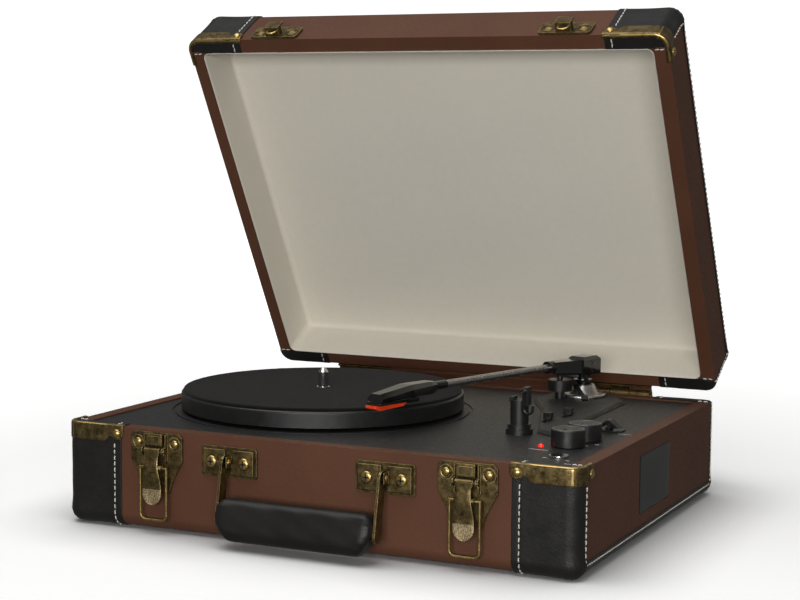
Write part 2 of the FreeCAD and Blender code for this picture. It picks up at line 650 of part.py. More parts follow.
def make_tonearm():
    block = arm_box(7.5, -11.0, 9.0, 83.0, 95.6)
    block = block.makeChamfer(2.2, edges_at(block, 95.6))
    front = Part.makePolygon([Vector(PIVOT_X + a, PIVOT_Y - 9.0, z) for a, z in
                              ((-6.6, 84.4), (6.6, 84.4), (6.6, 94.0), (-6.6, 94.0), (-6.6, 84.4))])
    tip = Part.makePolygon([Vector(PIVOT_X + a, PIVOT_Y - 38.0, z) for a, z in
                            ((-4.0, 87.0), (4.0, 87.0), (4.0, 94.6), (-4.0, 94.6), (-4.0, 87.0))])
    nose = Part.makeLoft([front, tip], True, True)
    collar = rod((PIVOT_X, PIVOT_Y - 36.0, ARM_Z), Y_AXIS * -1, 6.0, 4.3)
    block = fuse(block, nose, collar)
    block = block.cut(arm_box(4.0, -6.5, 6.5, 80.0, 94.0))
    block = block.cut(rod((PIVOT_X - 20, PIVOT_Y, ARM_Z), X_AXIS, 40, 1.2 + RUN_FIT))
    block = block.cut(rod((PIVOT_X, PIVOT_Y - 30, ARM_Z), Y_AXIS * -1, 20, ARM_TUBE_R))
    save("tonearm_block", along_arm(block))

    tube = rod((PIVOT_X, PIVOT_Y - 30, ARM_Z), Y_AXIS * -1, 124.0, ARM_TUBE_R)
    tube = tube.cut(rod((PIVOT_X, PIVOT_Y - 31, ARM_Z), Y_AXIS * -1, 124.0, ARM_TUBE_R - 0.7))
    save("tonearm_tube", along_arm(tube))

    sections = [arm_section(162.0, 2.6, 4.4, 94.2, 92.4, 87.4, 3.0),
                arm_section(168.0, 3.6, 6.2, 94.9, 92.6, 86.8, 4.0),
                arm_section(188.0, 4.6, 7.4, 94.9, 92.0, 87.0, 5.6),
                arm_section(216.0, 3.4, 6.4, 91.6, 88.9, 86.4, 5.0)]
    neck = rod((PIVOT_X, PIVOT_Y - 150, ARM_Z), Y_AXIS * -1, 13.0, ARM_TUBE_R + 0.25)
    shell = fuse(Part.makeLoft(sections, True, True), neck)
    shell = shell.cut(rod((PIVOT_X, PIVOT_Y - 149, ARM_Z), Y_AXIS * -1, 5.0, ARM_TUBE_R))
    save("headshell", along_arm(shell))

    body = arm_box(5.6, 190.0, 217.5, 84.6, 86.3)
    rear = arm_box(4.8, 180.0, 190.0, 83.6, 86.3)
    save("cartridge", along_arm(fuse(body, rear)))
    red = prism([(PIVOT_X - 4.6, PIVOT_Y - 192, 84.5), (PIVOT_X - 4.6, PIVOT_Y - 220, 84.5),
                 (PIVOT_X - 4.6, PIVOT_Y - 220, 83.0), (PIVOT_X - 4.6, PIVOT_Y - 217, 81.6),
                 (PIVOT_X - 4.6, PIVOT_Y - 195, 82.4)], Vector(9.2, 0, 0))
    needle = cone(PIVOT_X, PIVOT_Y - STYLUS_REACH, STYLUS_Z, 82.4, 0.2, 0.9)
    save("stylus", along_arm(fuse(red, needle)))


def arc_bar(radius, width, z0, z1, from_deg, to_deg):
    """A curved bar centred on the tonearm's pivot; degrees are the arm's own angles."""
    ring = post(PIVOT_X, PIVOT_Y, z0, z1, radius + width / 2)
    ring = ring.cut(post(PIVOT_X, PIVOT_Y, z0 - 1, z1 + 1, radius - width / 2))

    def ray(deg):
        a = math.radians(deg)
        return (PIVOT_X + 60 * math.sin(a), PIVOT_Y - 60 * math.cos(a), z0 - 1)

    wedge = prism([(PIVOT_X, PIVOT_Y, z0 - 1), ray(from_deg), ray((from_deg + to_deg) / 2),
                   ray(to_deg)], Vector(0, 0, z1 - z0 + 2))
    return ring.common(wedge)


def make_cue_lift():
    x, y = HOUSING_XY
    drum = fuse(post(x, y, BOARD_TOP, 72.5, 3.5), post(x, y, 72.5, 80.2, 8.6))
    drum = drum.cut(post(x, y, 70.0, 90, 2.0 + RUN_FIT))
    a = math.radians(CUE_DIR_DEG)
    forward = Vector(math.sin(a), -math.cos(a), 0)
    across = Vector(math.cos(a), math.sin(a), 0)
    hub = Vector(x, y, CUE_PIVOT_Z) + across * 8.0
    axle = rod(hub - across * 2, across, 5.5, 1.2)
    save("cue_lift_housing", fuse(drum, axle))
    platform = fuse(arc_bar(LIFT_R, 4.0, LIFT_Z - 1.4, LIFT_Z, -44, 12),
                    post(x, y, 71.0, LIFT_Z - 0.4, 2.0))
    save("cue_lift_platform", platform)

    eye = rod(hub + across * 1.4, across, 2.2, 2.8)
    start = hub + across * 1.4
    down = Vector(0, 0, -1)
    reach = 38.0
    drop = 4.0
    tip = start + forward * reach + down * drop
    corners = [start + UP * 1.4, tip + UP * 0.9, tip + down * 0.9, start + down * 1.4]
    stem = Part.Face(Part.makePolygon(corners + [corners[0]])).extrude(across * 2.2)
    pad = rod(tip - across * 1.0 - forward * 1.0, across, 4.2, 2.0)
    lever = fuse(eye, stem, pad).cut(rod(hub - across, across, 10, 1.2 + RUN_FIT))
    save("cue_lever", lever)


def make_arm_rest():
    """Post with a notch for the tube, and a hook that swings over it from the taller prong."""
    x, y = REST_X, REST_Y
    notch_z = 86.0
    body = fuse(post(x, y, DECK_Z, DECK_Z + 3.4, 8.6), post(x, y, DECK_Z + 3.4, DECK_Z + 6.4, 7.4),
                post(x, y, DECK_Z + 6.4, notch_z, 5.8))
    low_prong = box(x - 5.6, x - 3.0, y - 3.5, y + 3.5, notch_z - 1, 88.0)
    tall_prong = box(x + 3.4, x + 6.6, y - 3.5, y + 3.5, notch_z - 3, 94.4)
    pin_x, pin_z = x + 5.1, 92.5
    pin = rod((pin_x, y - 8.0, pin_z), Y_AXIS, 5.0, 0.8)
    save("arm_rest_post", fuse(body, low_prong, tall_prong, pin))

    depth = 1.6
    front = y - 7.6
    half = 0.7
    bend = 3.2
    leg_end = pin_z - 11.0
    eye = rod((pin_x, front, pin_z), Y_AXIS, depth, 1.7)
    leg = box(pin_x - half, pin_x + half, front, front + depth, leg_end, pin_z)
    hook = rod((pin_x + bend, front, leg_end), Y_AXIS, depth, bend + half)
    hook = hook.cut(rod((pin_x + bend, front - 1, leg_end), Y_AXIS, depth + 2, bend - half))
    hook = hook.common(box(pin_x - 2, pin_x + 12, front, front + depth, leg_end - 8, leg_end))
    tip_x = pin_x + 2 * bend
    tip = box(tip_x - half, tip_x + half, front, front + depth, leg_end, leg_end + 2.5)
    clip = fuse(eye, leg, hook, tip).cut(rod((pin_x, y - 10, pin_z), Y_AXIS, 20, 0.8 + RUN_FIT))
    save("arm_rest_clip", clip)


# ---------------------------------------------------------------- controls
def knob(x, y):
    z0 = DECK_Z + 0.6
    cap = post(x, y, z0, z0 + KNOB_H, KNOB_R)
    cap = cap.makeFillet(0.9, edges_at(cap, z0 + KNOB_H))
    pointer = box(x - 0.5, x + 0.5, y - KNOB_R + 1, y - 3, z0 + KNOB_H - 0.4, z0 + KNOB_H + 1)
    return fuse(cap.cut(pointer), post(x, y, 50.5, z0 + 1, 3.0))


def make_controls():
    save("volume_knob", knob(*VOLUME_XY))
    save("tone_knob", knob(*TONE_XY))
    pots = []
    for x, y in (VOLUME_XY, TONE_XY):
        can = fuse(post(x, y, 45.8, 56, 8.0), post(x, y, 56, DECK_Z - DECK_T, 4.5))
        pots.append(can.cut(post(x, y, 50, 70, 3.0 + RUN_FIT)))
    board = box(100, 158, -110, -20, 44.2, 45.8)
    parts = [box(104, 118, -60, -46, 45.8, 49.0), post(110, -80, 45.8, 57, 5),
             post(110, -95, 45.8, 57, 5), box(104, 116, -38, -28, 45.8, 53)]
    save("amplifier_board", board, *parts, *pots)

    led = fuse(post(126.5, -77.0, 58, DECK_Z + 0.3, 1.7),
               Part.makeSphere(1.6, Vector(126.5, -77.0, DECK_Z + 0.3)))
    save("power_lamp", led)
    jack = fuse(post(147.5, -103.0, 50, DECK_Z, 4.9), post(147.5, -103.0, DECK_Z, DECK_Z + 1.2, 6.0))
    jack = jack.cut(post(147.5, -103.0, 52, 80, 1.8))
    save("headphone_jack", jack)

    for name, x, y in (("speed_switch", 101.8, 2.0), ("auto_stop_switch", 107.0, 26.0)):
        z0 = DECK_Z + 0.9
        lever = fuse(box(x - 1.4, x + 1.4, y - 2.6, y + 2.6, z0, z0 + 3.4),
                     box(x - 2.8, x + 2.8, y - 2.2, y + 2.2, BOARD_TOP + 0.5, BOARD_TOP + 5.0))
        save(name, lever)

    x, y = 146.0, -5.0
    z0 = DECK_Z
    bezel = fuse(box(x - 9, x + 9, y - 5, y + 5, z0, z0 + 1.0),
                 box(x - 1.2, x + 1.2, y - 5, y - 4, z0, z0 + 3.4),
                 box(x - 1.2, x + 1.2, y + 4, y + 5, z0, z0 + 3.4),
                 rod((x, y - 4.5, z0 + 2.4), Y_AXIS, 9.0, 0.7))
    save("rocker_bracket", bezel)
    outer = [(x - 7.4, y - 3.6, z0 + 2.4), (x - 1.0, y - 3.6, z0 + 7.4),
             (x + 1.0, y - 3.6, z0 + 7.4), (x + 7.4, y - 3.6, z0 + 2.4)]
    inner = [(x - 4.6, y - 5, z0 + 2.0), (x, y - 5, z0 + 5.6), (x + 4.6, y - 5, z0 + 2.0)]
    paddle = prism(outer, Vector(0, 7.2, 0)).cut(prism(inner, Vector(0, 12, 0)))
    stem = fuse(box(x - 0.9, x + 0.9, y - 3.6, y + 3.6, z0 + 2.4, z0 + 6.0),
                rod((x, y - 3.6, z0 + 2.4), Y_AXIS, 7.2, 1.4))
    paddle = fuse(paddle, stem).cut(rod((x, y - 6, z0 + 2.4), Y_AXIS, 12, 0.7 + RUN_FIT))
    save("rocker_paddle", paddle)


# ---------------------------------------------------------------- speakers and rear panel
def make_speakers():
    y = (GRILLE_Y0 + GRILLE_Y1) / 2
    z = (GRILLE_Z0 + GRILLE_Z1) / 2
    x = CASE_SIDE - WALL
    flange = rod((x - 2, y, z), X_AXIS, 2, 25.0)
    basket = Part.makeCone(15.0, 23.5, 12.0, Vector(x - 14, y, z), X_AXIS)
    magnet = rod((x - 25, y, z), X_AXIS, 11.5, 16.0)
    driver = fuse(flange, basket, magnet)
    driver = driver.cut(Part.makeCone(6.0, 22.0, 11.0, Vector(x - 10.9, y, z), X_AXIS))
    save("speakers", mirrored(driver), driver)
    grille = grille_block(CASE_SIDE - 4.0, CASE_SIDE - 0.9, 0.2)
    save("speaker_grilles", mirrored(grille), grille)


def make_rear_panel():
    y = CASE_BACK
    plate = box(-JACK_HALF - 6, JACK_HALF + 6, y, y + 1.6, JACK_Z0 - 5, JACK_Z1 + 5)
    z = (JACK_Z0 + JACK_Z1) / 2
    plate = plate.makeFillet(3.0, [e for e in plate.Edges
                                   if abs(e.Vertexes[0].Y - e.Vertexes[-1].Y) > 1e-6])
    sockets = []
    for x in (-30.0, -14.0):
        plate = plate.cut(rod((x, y - 5, z), Y_AXIS, 12, 4.2))
        shell = fuse(rod((x, y - 8, z), Y_AXIS, 15, 4.1), rod((x, y - 2, z), Y_AXIS, 2, 6.0))
        sockets.append(shell.cut(rod((x, y - 4, z), Y_AXIS, 20, 1.6)))
    plate = plate.cut(rod((8.0, y - 5, z), Y_AXIS, 12, 3.0))
    mini = rod((8.0, y - 10, z), Y_AXIS, 12.4, 2.9).cut(rod((8.0, y - 8, z), Y_AXIS, 20, 1.8))
    plate = plate.cut(rod((31.0, y - 5, z), Y_AXIS, 12, 5.2))
    inlet = rod((31.0, y - 11, z), Y_AXIS, 13.2, 5.1).cut(rod((31.0, y - 9, z), Y_AXIS, 20, 2.8))
    inlet = inlet.fuse(rod((31.0, y - 10, z), Y_AXIS, 10.0, 1.0))
    save("rear_jack_plate", plate)
    save("rear_sockets", *sockets, mini, inlet)


def main():
    os.makedirs("parts", exist_ok=True)
    make_base()
    make_base_leather()
    make_base_guards()
    make_lid()
    make_hinges()
    make_latches()
    make_handle()
    make_deck()
    make_drive()
    make_tonearm_base()
    make_tonearm()
    make_cue_lift()
    make_arm_rest()
    make_controls()
    make_speakers()
    make_rear_panel()


main()
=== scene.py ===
import bmesh
import bpy
import json
import math
import random
from mathutils import Matrix, Vector


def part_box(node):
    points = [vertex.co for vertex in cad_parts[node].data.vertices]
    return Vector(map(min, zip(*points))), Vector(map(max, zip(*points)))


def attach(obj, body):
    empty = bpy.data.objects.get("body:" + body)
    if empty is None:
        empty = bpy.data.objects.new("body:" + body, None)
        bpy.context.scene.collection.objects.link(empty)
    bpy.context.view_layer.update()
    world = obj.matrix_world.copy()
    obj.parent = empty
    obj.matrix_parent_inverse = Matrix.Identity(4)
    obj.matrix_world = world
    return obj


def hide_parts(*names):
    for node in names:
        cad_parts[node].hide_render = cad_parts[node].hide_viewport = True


# Suitcase record player.  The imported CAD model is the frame; this script gives it its leather,
# cloth, stitching, brass and finishes.  Lengths below are in millimetres in the case's own frame:
# X = Y = 0 under the middle of the case, Z = 0 on the floor.  at() turns them into scene metres.

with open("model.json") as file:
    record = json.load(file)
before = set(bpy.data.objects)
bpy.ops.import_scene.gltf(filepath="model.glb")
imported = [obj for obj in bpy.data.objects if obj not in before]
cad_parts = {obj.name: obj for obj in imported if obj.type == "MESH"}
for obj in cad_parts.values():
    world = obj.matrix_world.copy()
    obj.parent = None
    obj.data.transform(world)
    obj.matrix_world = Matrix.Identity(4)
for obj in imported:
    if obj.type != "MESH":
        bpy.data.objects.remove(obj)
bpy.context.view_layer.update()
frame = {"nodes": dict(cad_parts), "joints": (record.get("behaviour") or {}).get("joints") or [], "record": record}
NODES = frame["nodes"]
JOINTS = {j["name"]: j for j in frame["joints"]}
SLOTS = {s["node"]: s["material_slot"] for s in frame["record"]["subparts"]}
MM = 0.001
rng = random.Random(7)

# ---- sizes: these follow from the frame
SKIN = 0.5                       # the leather stands this far over the board case
case_lo, case_hi = (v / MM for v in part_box("base_case"))
lid_joint = JOINTS["lid_hinge"]
MID_Y = (case_lo.y + case_hi.y) / 2
HALF_W = (case_hi.x - case_lo.x) / 2 + SKIN
HALF_D = (case_hi.y - case_lo.y) / 2 + SKIN
RIM_Z = case_hi.z + SKIN
CASE_BOTTOM = case_lo.z - SKIN
HINGE = Vector(lid_joint["pos_m"])
LID_ANGLE = math.radians(min(lid_joint["range_deg"]))
OPEN = (Matrix.Translation(HINGE) @ Matrix.Rotation(LID_ANGLE, 4, "X")
        @ Matrix.Translation(-HINGE))
SHUT = Matrix.Identity(4)
FRONT = -HALF_D
DECK_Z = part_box("motor_board")[1].z / MM

# and these are chosen, to suit the CAD model and the photo
CORNER_R = 9.5                   # upright corners
EDGE_R = 9.0                     # edge round the bottom, and round the lid's top
WALL = 10.5
RIM_R = 1.0                      # small round where the covering turns over the rim
LID_GAP = 1.6
LID_H = 42.0
LID_PANEL = 8.2
LEATHER_FRONT = 133.0            # x where the corner leather is cut, and x of its stitches
STITCH_FRONT = 137.9
STITCH_SIDE = -132.0             # y of the stitches round the corner
UNDER = 6.0                      # the leather reaches this far underneath
LEATHER_T = 0.4
CLOTH_T = 0.3
MARGIN = 0.8                     # the bands are measured from this far below the case
BAND_TOP = 10.6
BAND_STITCH = 8.2
GUARD_FRONT = 131.6
GUARD_SIDE = 20.0
GUARD_DEPTH = 10.5
GUARD_LIP = 1.7
GUARD_LIFT = 0.72                # a shut lid's guards clear the base's


def at(x, y, z):
    """A point of the case's own frame, in scene metres."""
    return Vector((x, y + MID_Y, z)) * MM


# ---- materials
def rgb(r, g, b):
    """An sRGB colour, 0 to 255, as linear RGBA."""
    def linear(c):
        c /= 255
        return c / 12.92 if c <= 0.04045 else ((c + 0.055) / 1.055) ** 2.4
    return (linear(r), linear(g), linear(b), 1.0)


class Finish:
    """A procedural material: a Principled shader and the few nodes that feed it."""

    def __init__(self, name, **values):
        self.material = bpy.data.materials.new(name)
        self.material.use_nodes = True
        self.tree = self.material.node_tree
        self.shader = self.tree.nodes["Principled BSDF"]
        self.place = self.tree.nodes.new("ShaderNodeTexCoord").outputs["Object"]
        self.height = None
        for key, value in values.items():
            self.shader.inputs[key.replace("_", " ")].default_value = value

    def node(self, kind, **values):
        made = self.tree.nodes.new("ShaderNode" + kind)
        for key, value in values.items():
            if hasattr(made, key):
                setattr(made, key, value)
            else:
                made.inputs[key.replace("_", " ")].default_value = value
        return made

    def link(self, source, target):
        self.tree.links.new(source, target)

    def noise(self, size, detail=3.0, stretch=(1, 1, 1), roughness=0.55):
        """Cloudy noise whose features are about size millimetres wide."""
        made = self.node("TexNoise", Scale=1000.0 / size, Detail=detail, Roughness=roughness)
        self.link(self.stretched(stretch), made.inputs["Vector"])
        return made.outputs["Fac"]

    def cells(self, size, feature="F1"):
        made = self.node("TexVoronoi", feature=feature, Scale=1000.0 / size)
        self.link(self.place, made.inputs["Vector"])
        return made.outputs["Distance"]

    def stretched(self, scale, turn=0.0):
        made = self.node("Mapping")
        made.inputs["Scale"].default_value = scale
        made.inputs["Rotation"].default_value = (turn, 0, 0)
        self.link(self.place, made.inputs["Vector"])
        return made.outputs["Vector"]

    def wave(self, size, axis, turn=0.0, distortion=0.0):
        """Threads size millimetres apart, across axis."""
        made = self.node("TexWave", bands_direction=axis, Scale=50.0 * math.tau / size,
                         Distortion=distortion)
        self.link(self.stretched((1, 1, 1), turn), made.inputs["Vector"])
        return made.outputs["Fac"]

    def maths(self, operation, a, b):
        made = self.node("Math", operation=operation)
        for socket, value in zip(made.inputs, (a, b)):
            if isinstance(value, (int, float)):
                socket.default_value = value
            else:
                self.link(value, socket)
        return made.outputs[0]

    def ramp(self, fac, *stops):
        """A colour ramp; each stop is a position and a colour or a grey level."""
        made = self.node("ValToRGB")
        ramp = made.color_ramp
        while len(ramp.elements) < len(stops):
            ramp.elements.new(0.5)
        for element, (position, colour) in zip(ramp.elements, stops):
            element.position = position
            grey = isinstance(colour, (int, float))
            element.color = (colour, colour, colour, 1) if grey else colour
        self.link(fac, made.inputs["Fac"])
        return made.outputs["Color"]

    def blend(self, fac, a, b):
        made = self.node("Mix", data_type="RGBA")
        for socket, value in ((made.inputs[0], fac), (made.inputs[6], a), (made.inputs[7], b)):
            if isinstance(value, (int, float, tuple)):
                socket.default_value = value
            else:
                self.link(value, socket)
        return made.outputs[2]

    def edges(self, radius):
        """About 1 along the sharp edges of the piece and 0 on its flats."""
        soft = self.node("Bevel", samples=6, Radius=radius * MM)
        flat = self.node("NewGeometry")
        dot = self.node("VectorMath", operation="DOT_PRODUCT")
        self.link(soft.outputs["Normal"], dot.inputs[0])
        self.link(flat.outputs["Normal"], dot.inputs[1])
        return self.ramp(dot.outputs["Value"], (0.75, 1.0), (0.99, 0.0))

    def colour(self, source):
        self.link(source, self.shader.inputs["Base Color"])

    def rough(self, source):
        self.link(source, self.shader.inputs["Roughness"])

    def bump(self, height, depth):
        """Relief of depth millimetres, on top of any relief given before."""
        made = self.node("Bump", Strength=1.0, Distance=depth * MM)
        self.link(height, made.inputs["Height"])
        if self.height:
            self.link(self.height, made.inputs["Normal"])
        self.height = made.outputs["Normal"]
        self.link(self.height, self.shader.inputs["Normal"])


def leatherette():
    f = Finish("brown_leatherette", Roughness=0.55, Specular_IOR_Level=0.2)
    cloud = f.noise(60.0, 2.0)
    fleck = f.noise(1.1, 2.0)
    tone = f.ramp(cloud, (0.3, rgb(91, 58, 42)), (0.7, rgb(101, 66, 48)))
    f.colour(f.blend(f.maths("MULTIPLY", fleck, 0.35), tone, rgb(66, 42, 32)))
    f.rough(f.ramp(f.noise(2.0), (0.3, 0.45), (0.7, 0.6)))
    f.bump(f.cells(0.85), 0.07)
    f.bump(f.noise(2.4, 4.0), 0.10)
    return f.material


def leather():
    f = Finish("black_leather", Roughness=0.4, Specular_IOR_Level=0.36)
    f.colour(f.ramp(f.noise(30.0, 3.0), (0.3, rgb(24, 23, 23)), (0.7, rgb(32, 31, 30))))
    f.rough(f.ramp(f.noise(5.0, 4.0), (0.3, 0.36), (0.7, 0.5)))
    f.bump(f.cells(1.1), 0.06)
    f.bump(f.noise(3.5, 5.0), 0.12)
    return f.material


def grip_leather():
    f = Finish("grip_leather", Roughness=0.4, Specular_IOR_Level=0.3)
    f.colour(f.ramp(f.noise(20.0, 3.0), (0.3, rgb(24, 23, 22)), (0.7, rgb(31, 30, 28))))
    f.bump(f.cells(0.9), 0.05)
    f.bump(f.noise(1.6, 3.0), 0.05)
    return f.material


def brass(name, dark, mid, bright, grain=6.0):
    """Aged brass: speckled patina, painted shade in the recesses, and edges brightened by rubbed wear and a
    painted highlight.
    """
    f = Finish(name, Metallic=0.9)
    cloud = f.noise(grain, 5.0, roughness=0.65)
    speck = f.noise(1.1, 4.0, roughness=0.7)
    mixed = f.maths("ADD", f.maths("MULTIPLY", cloud, 0.55), f.maths("MULTIPLY", speck, 0.45))
    patina = f.ramp(mixed, (0.36, dark), (0.62, mid))
    # Ambient occlusion darkens the recesses towards black: painted shade.
    painted_shade_ao = f.node("AmbientOcclusion", samples=4, Distance=2.2 * MM)
    shade = f.ramp(painted_shade_ao.outputs["AO"], (0.25, 0.0), (0.75, 1.0))
    painted_recess_shade = tuple(c * 0.25 for c in dark[:3]) + (1.0,)
    # Edges lightened as rubbed wear and painted highlight; recesses darkened with painted shade.
    f.colour(f.blend(f.edges(0.5), f.blend(shade, painted_recess_shade, patina), bright))
    f.rough(f.ramp(f.noise(grain / 2, 4.0), (0.3, 0.3), (0.7, 0.48)))
    f.bump(speck, 0.05)
    return f.material


# Pale stippled brass for the lever's finger end; its paleness is rubbed wear and a painted sheen.
def rubbed_brass():
    f = Finish("rubbed_brass", Metallic=0.7, Roughness=0.5)
    f.colour(f.ramp(f.cells(0.7), (0.15, rgb(214, 196, 158)), (0.6, rgb(140, 122, 88))))
    f.bump(f.cells(0.7), 0.10)
    return f.material


def weave(name, dark, light, size, depth, turn=0.0):
    """Plain cloth: two crossed sets of threads, with a little unevenness."""
    f = Finish(name, Roughness=0.92, Specular_IOR_Level=0.2, Sheen_Weight=0.12)
    warp = f.wave(size, "X", turn, distortion=0.6)
    weft = f.wave(size, "Y", turn, distortion=0.6)
    cloth = f.maths("MAXIMUM", warp, weft)
    slub = f.noise(size * 9, 3.0, (1, 0.25, 1))
    f.colour(f.blend(f.maths("MULTIPLY", cloth, slub), dark, light))
    f.bump(cloth, depth)
    return f.material


def felt():
    f = Finish("felt_black", Roughness=1.0, Specular_IOR_Level=0.1, Sheen_Weight=0.04)
    f.colour(f.ramp(f.noise(1.2, 5.0), (0.3, rgb(15, 15, 15)), (0.7, rgb(27, 26, 25))))
    f.bump(f.noise(0.8, 4.0, (1, 0.4, 1)), 0.25)
    return f.material


def plastic(name, colour, low, high, grain=1.5, depth=0.02, **values):
    """Moulded plastic with a slightly uneven gloss."""
    f = Finish(name, **values)
    paler = tuple(min(1.0, c * 1.35 + 0.002) for c in colour[:3]) + (1.0,)
    f.colour(f.ramp(f.noise(grain * 8, 3.0), (0.3, colour), (0.7, paler)))
    f.rough(f.ramp(f.noise(grain * 3, 3.0), (0.3, low), (0.7, high)))
    f.bump(f.noise(grain, 2.0), depth)
    return f.material


def metal(name, colour, low, high, grain=2.0, stretch=(1, 1, 1), depth=0.01):
    f = Finish(name, Metallic=1.0)
    darker = tuple(c * 0.85 for c in colour[:3]) + (1.0,)
    f.colour(f.ramp(f.noise(grain * 4, 2.0, stretch), (0.35, darker), (0.65, colour)))
    f.rough(f.ramp(f.noise(grain, 3.0, stretch), (0.3, low), (0.7, high)))
    f.bump(f.noise(grain, 2.0, stretch), depth)
    return f.material


def lamp():
    f = Finish("lamp_red", Roughness=0.15, Emission_Strength=1.2, Coat_Weight=0.6)
    f.shader.inputs["Emission Color"].default_value = rgb(255, 30, 16)
    f.colour(f.ramp(f.noise(2.0), (0.3, rgb(200, 16, 10)), (0.7, rgb(235, 30, 18))))
    return f.material


def circuit_board():
    f = Finish("board_green", Roughness=0.4)
    tracks = f.ramp(f.cells(7.0, "DISTANCE_TO_EDGE"), (0.05, 1.0), (0.08, 0.0))
    f.colour(f.blend(tracks, rgb(22, 70, 40), rgb(60, 120, 74)))
    f.bump(tracks, 0.05)
    return f.material


def thread():
    f = Finish("stitch_thread", Roughness=0.8, Specular_IOR_Level=0.3, Sheen_Weight=0.2)
    f.colour(f.ramp(f.noise(1.0, 2.0), (0.3, rgb(196, 192, 180)), (0.7, rgb(232, 229, 220))))
    f.bump(f.wave(0.5, "DIAGONAL"), 0.05)
    return f.material


SHAPED = {                       # finishes with a function of their own
    "brown_leatherette": leatherette, "black_leather": leather, "grip_leather": grip_leather,
    "rubbed_brass": rubbed_brass, "felt_black": felt, "lamp_red": lamp,
    "board_green": circuit_board, "stitch_thread": thread,
}
BRASSES = {                      # patina dark and middle, worn edge with painted highlight, grain
    "antique_brass": (rgb(56, 47, 29), rgb(136, 117, 76), rgb(236, 212, 150)),
    "bright_brass": (rgb(120, 98, 54), rgb(186, 158, 98), rgb(246, 226, 160), 3.0),
    "loop_brass": (rgb(110, 92, 52), rgb(176, 152, 96), rgb(240, 216, 150), 3.0),
}
CLOTHS = {                       # hollows and threads, thread size, depth, turn about X
    "cream_lining": (rgb(222, 216, 203), rgb(231, 226, 214), 0.5, 0.03, LID_ANGLE),
    "grille_black": (rgb(13, 13, 12), rgb(24, 23, 22), 0.7, 0.06, math.pi / 2),
}
METALS = {                       # colour, lowest and highest roughness, grain, stretch
    # brass_worn: brighter brass for domes, heads, bends and proud rims; rubbed wear with a painted highlight in
    # its colour.
    "brass_worn": (rgb(206, 176, 112), 0.25, 0.4, 1.5),
    "chrome": (rgb(228, 226, 222), 0.05, 0.14),
    "steel": (rgb(176, 174, 170), 0.25, 0.4, 1.0, (1, 1, 8)),
    "satin_aluminium": (rgb(196, 195, 192), 0.24, 0.36, 1.2),
    "bearing_brass": (rgb(196, 160, 96), 0.25, 0.4, 1.0, (1, 1, 6)),
}
PLASTICS = {                     # colour, lowest and highest roughness, grain, depth
    "board_black": (rgb(26, 26, 26), 0.42, 0.55, 0.7, 0.04),
    "satin_black": (rgb(20, 20, 20), 0.3, 0.42),
    "gloss_black": (rgb(12, 12, 12), 0.08, 0.16),
    "red_plastic": (rgb(214, 62, 22), 0.25, 0.4),
    "rubber_black": (rgb(24, 24, 24), 0.7, 0.85, 1.0, 0.05),
    "print_white": (rgb(205, 205, 205), 0.45, 0.6),
    "rim_grey": (rgb(120, 120, 120), 0.25, 0.35),
}
EXTRAS = {"gloss_black": {"Coat_Weight": 0.5}, "rim_grey": {"Metallic": 0.6}}
KINDS = ((BRASSES, brass), (CLOTHS, weave), (METALS, metal), (PLASTICS, plastic))
made_finishes = {}


def finish(name):
    """The finish of this name, made the first time it is asked for."""
    if name in made_finishes:
        return made_finishes[name]
    if name in SHAPED:
        made_finishes[name] = SHAPED[name]()
    for table, maker in KINDS:
        if name in table:
            made_finishes[name] = maker(name, *table[name], **EXTRAS.get(name, {}))
    return made_finishes[name]


# ---- mesh helpers
def piece(name, points, faces, look, body, smooth=True):
    """A mesh piece from points in scene metres, riding on a body."""
    mesh = bpy.data.meshes.new(name)
    mesh.from_pydata([tuple(p) for p in points], [], faces)
    mesh.validate()
    mesh.polygons.foreach_set("use_smooth", [smooth] * len(mesh.polygons))
    made = bpy.data.objects.new(name, mesh)
    bpy.context.scene.collection.objects.link(made)
    mesh.materials.append(finish(look))
    turn_faces_out(made)
    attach(made, body)
    return made


def turn_faces_out(made):
    bm = bmesh.new()
    bm.from_mesh(made.data)
    bm.normal_update()
    bmesh.ops.recalc_face_normals(bm, faces=bm.faces)
    bm.to_mesh(made.data)
    bm.free()


def bevel(made, width, segments=2, angle=35.0, weld=False):
    """Rounded edges and even shading; weld joins the CAD mesh's split corners first."""
    if weld:
        joined = made.modifiers.new("weld", "WELD")
        joined.merge_threshold = 1e-5
    edge = made.modifiers.new("bevel", "BEVEL")
    edge.width = width * MM
    edge.segments = segments
    edge.limit_method = "ANGLE"
    edge.angle_limit = math.radians(angle)
    shade = made.modifiers.new("shade", "WEIGHTED_NORMAL")
    shade.keep_sharp = False
    return made


def grid(name, rows, look, body, round_u=False, round_v=False, caps=False, cap_end=False):
    """A surface through a grid of points; round_u joins each row's ends, round_v the rows."""
    n, m = len(rows), len(rows[0])
    points = [p for row in rows for p in row]
    faces = []
    for i in range(n if round_v else n - 1):
        for j in range(m if round_u else m - 1):
            k = (i + 1) % n
            q = (j + 1) % m
            faces.append((i * m + j, i * m + q, k * m + q, k * m + j))
    if caps:
        faces.append(tuple(range(m)))
    if caps or cap_end:
        faces.append(tuple(range((n - 1) * m, n * m)))
    return piece(name, points, faces, look, body)


def lathe(name, profile, centre, axis, look, body, steps=32):
    """A turned piece: profile is (radius, height) along axis from centre, all in millimetres."""
    turn = Vector(axis).to_track_quat("Z", "Y").to_matrix()
    rows = []
    for radius, height in profile:
        rows.append([centre + turn @ Vector((radius * math.cos(a), radius * math.sin(a), height))
                     * MM for a in circle(steps)])
    return grid(name, rows, look, body, round_u=True, caps=True)


def prism(count):
    """Faces of a prism whose two ends have count points each."""
    ends = [tuple(range(count)), tuple(range(count, 2 * count))]
    return ends + [(i, (i + 1) % count, count + (i + 1) % count, count + i) for i in range(count)]


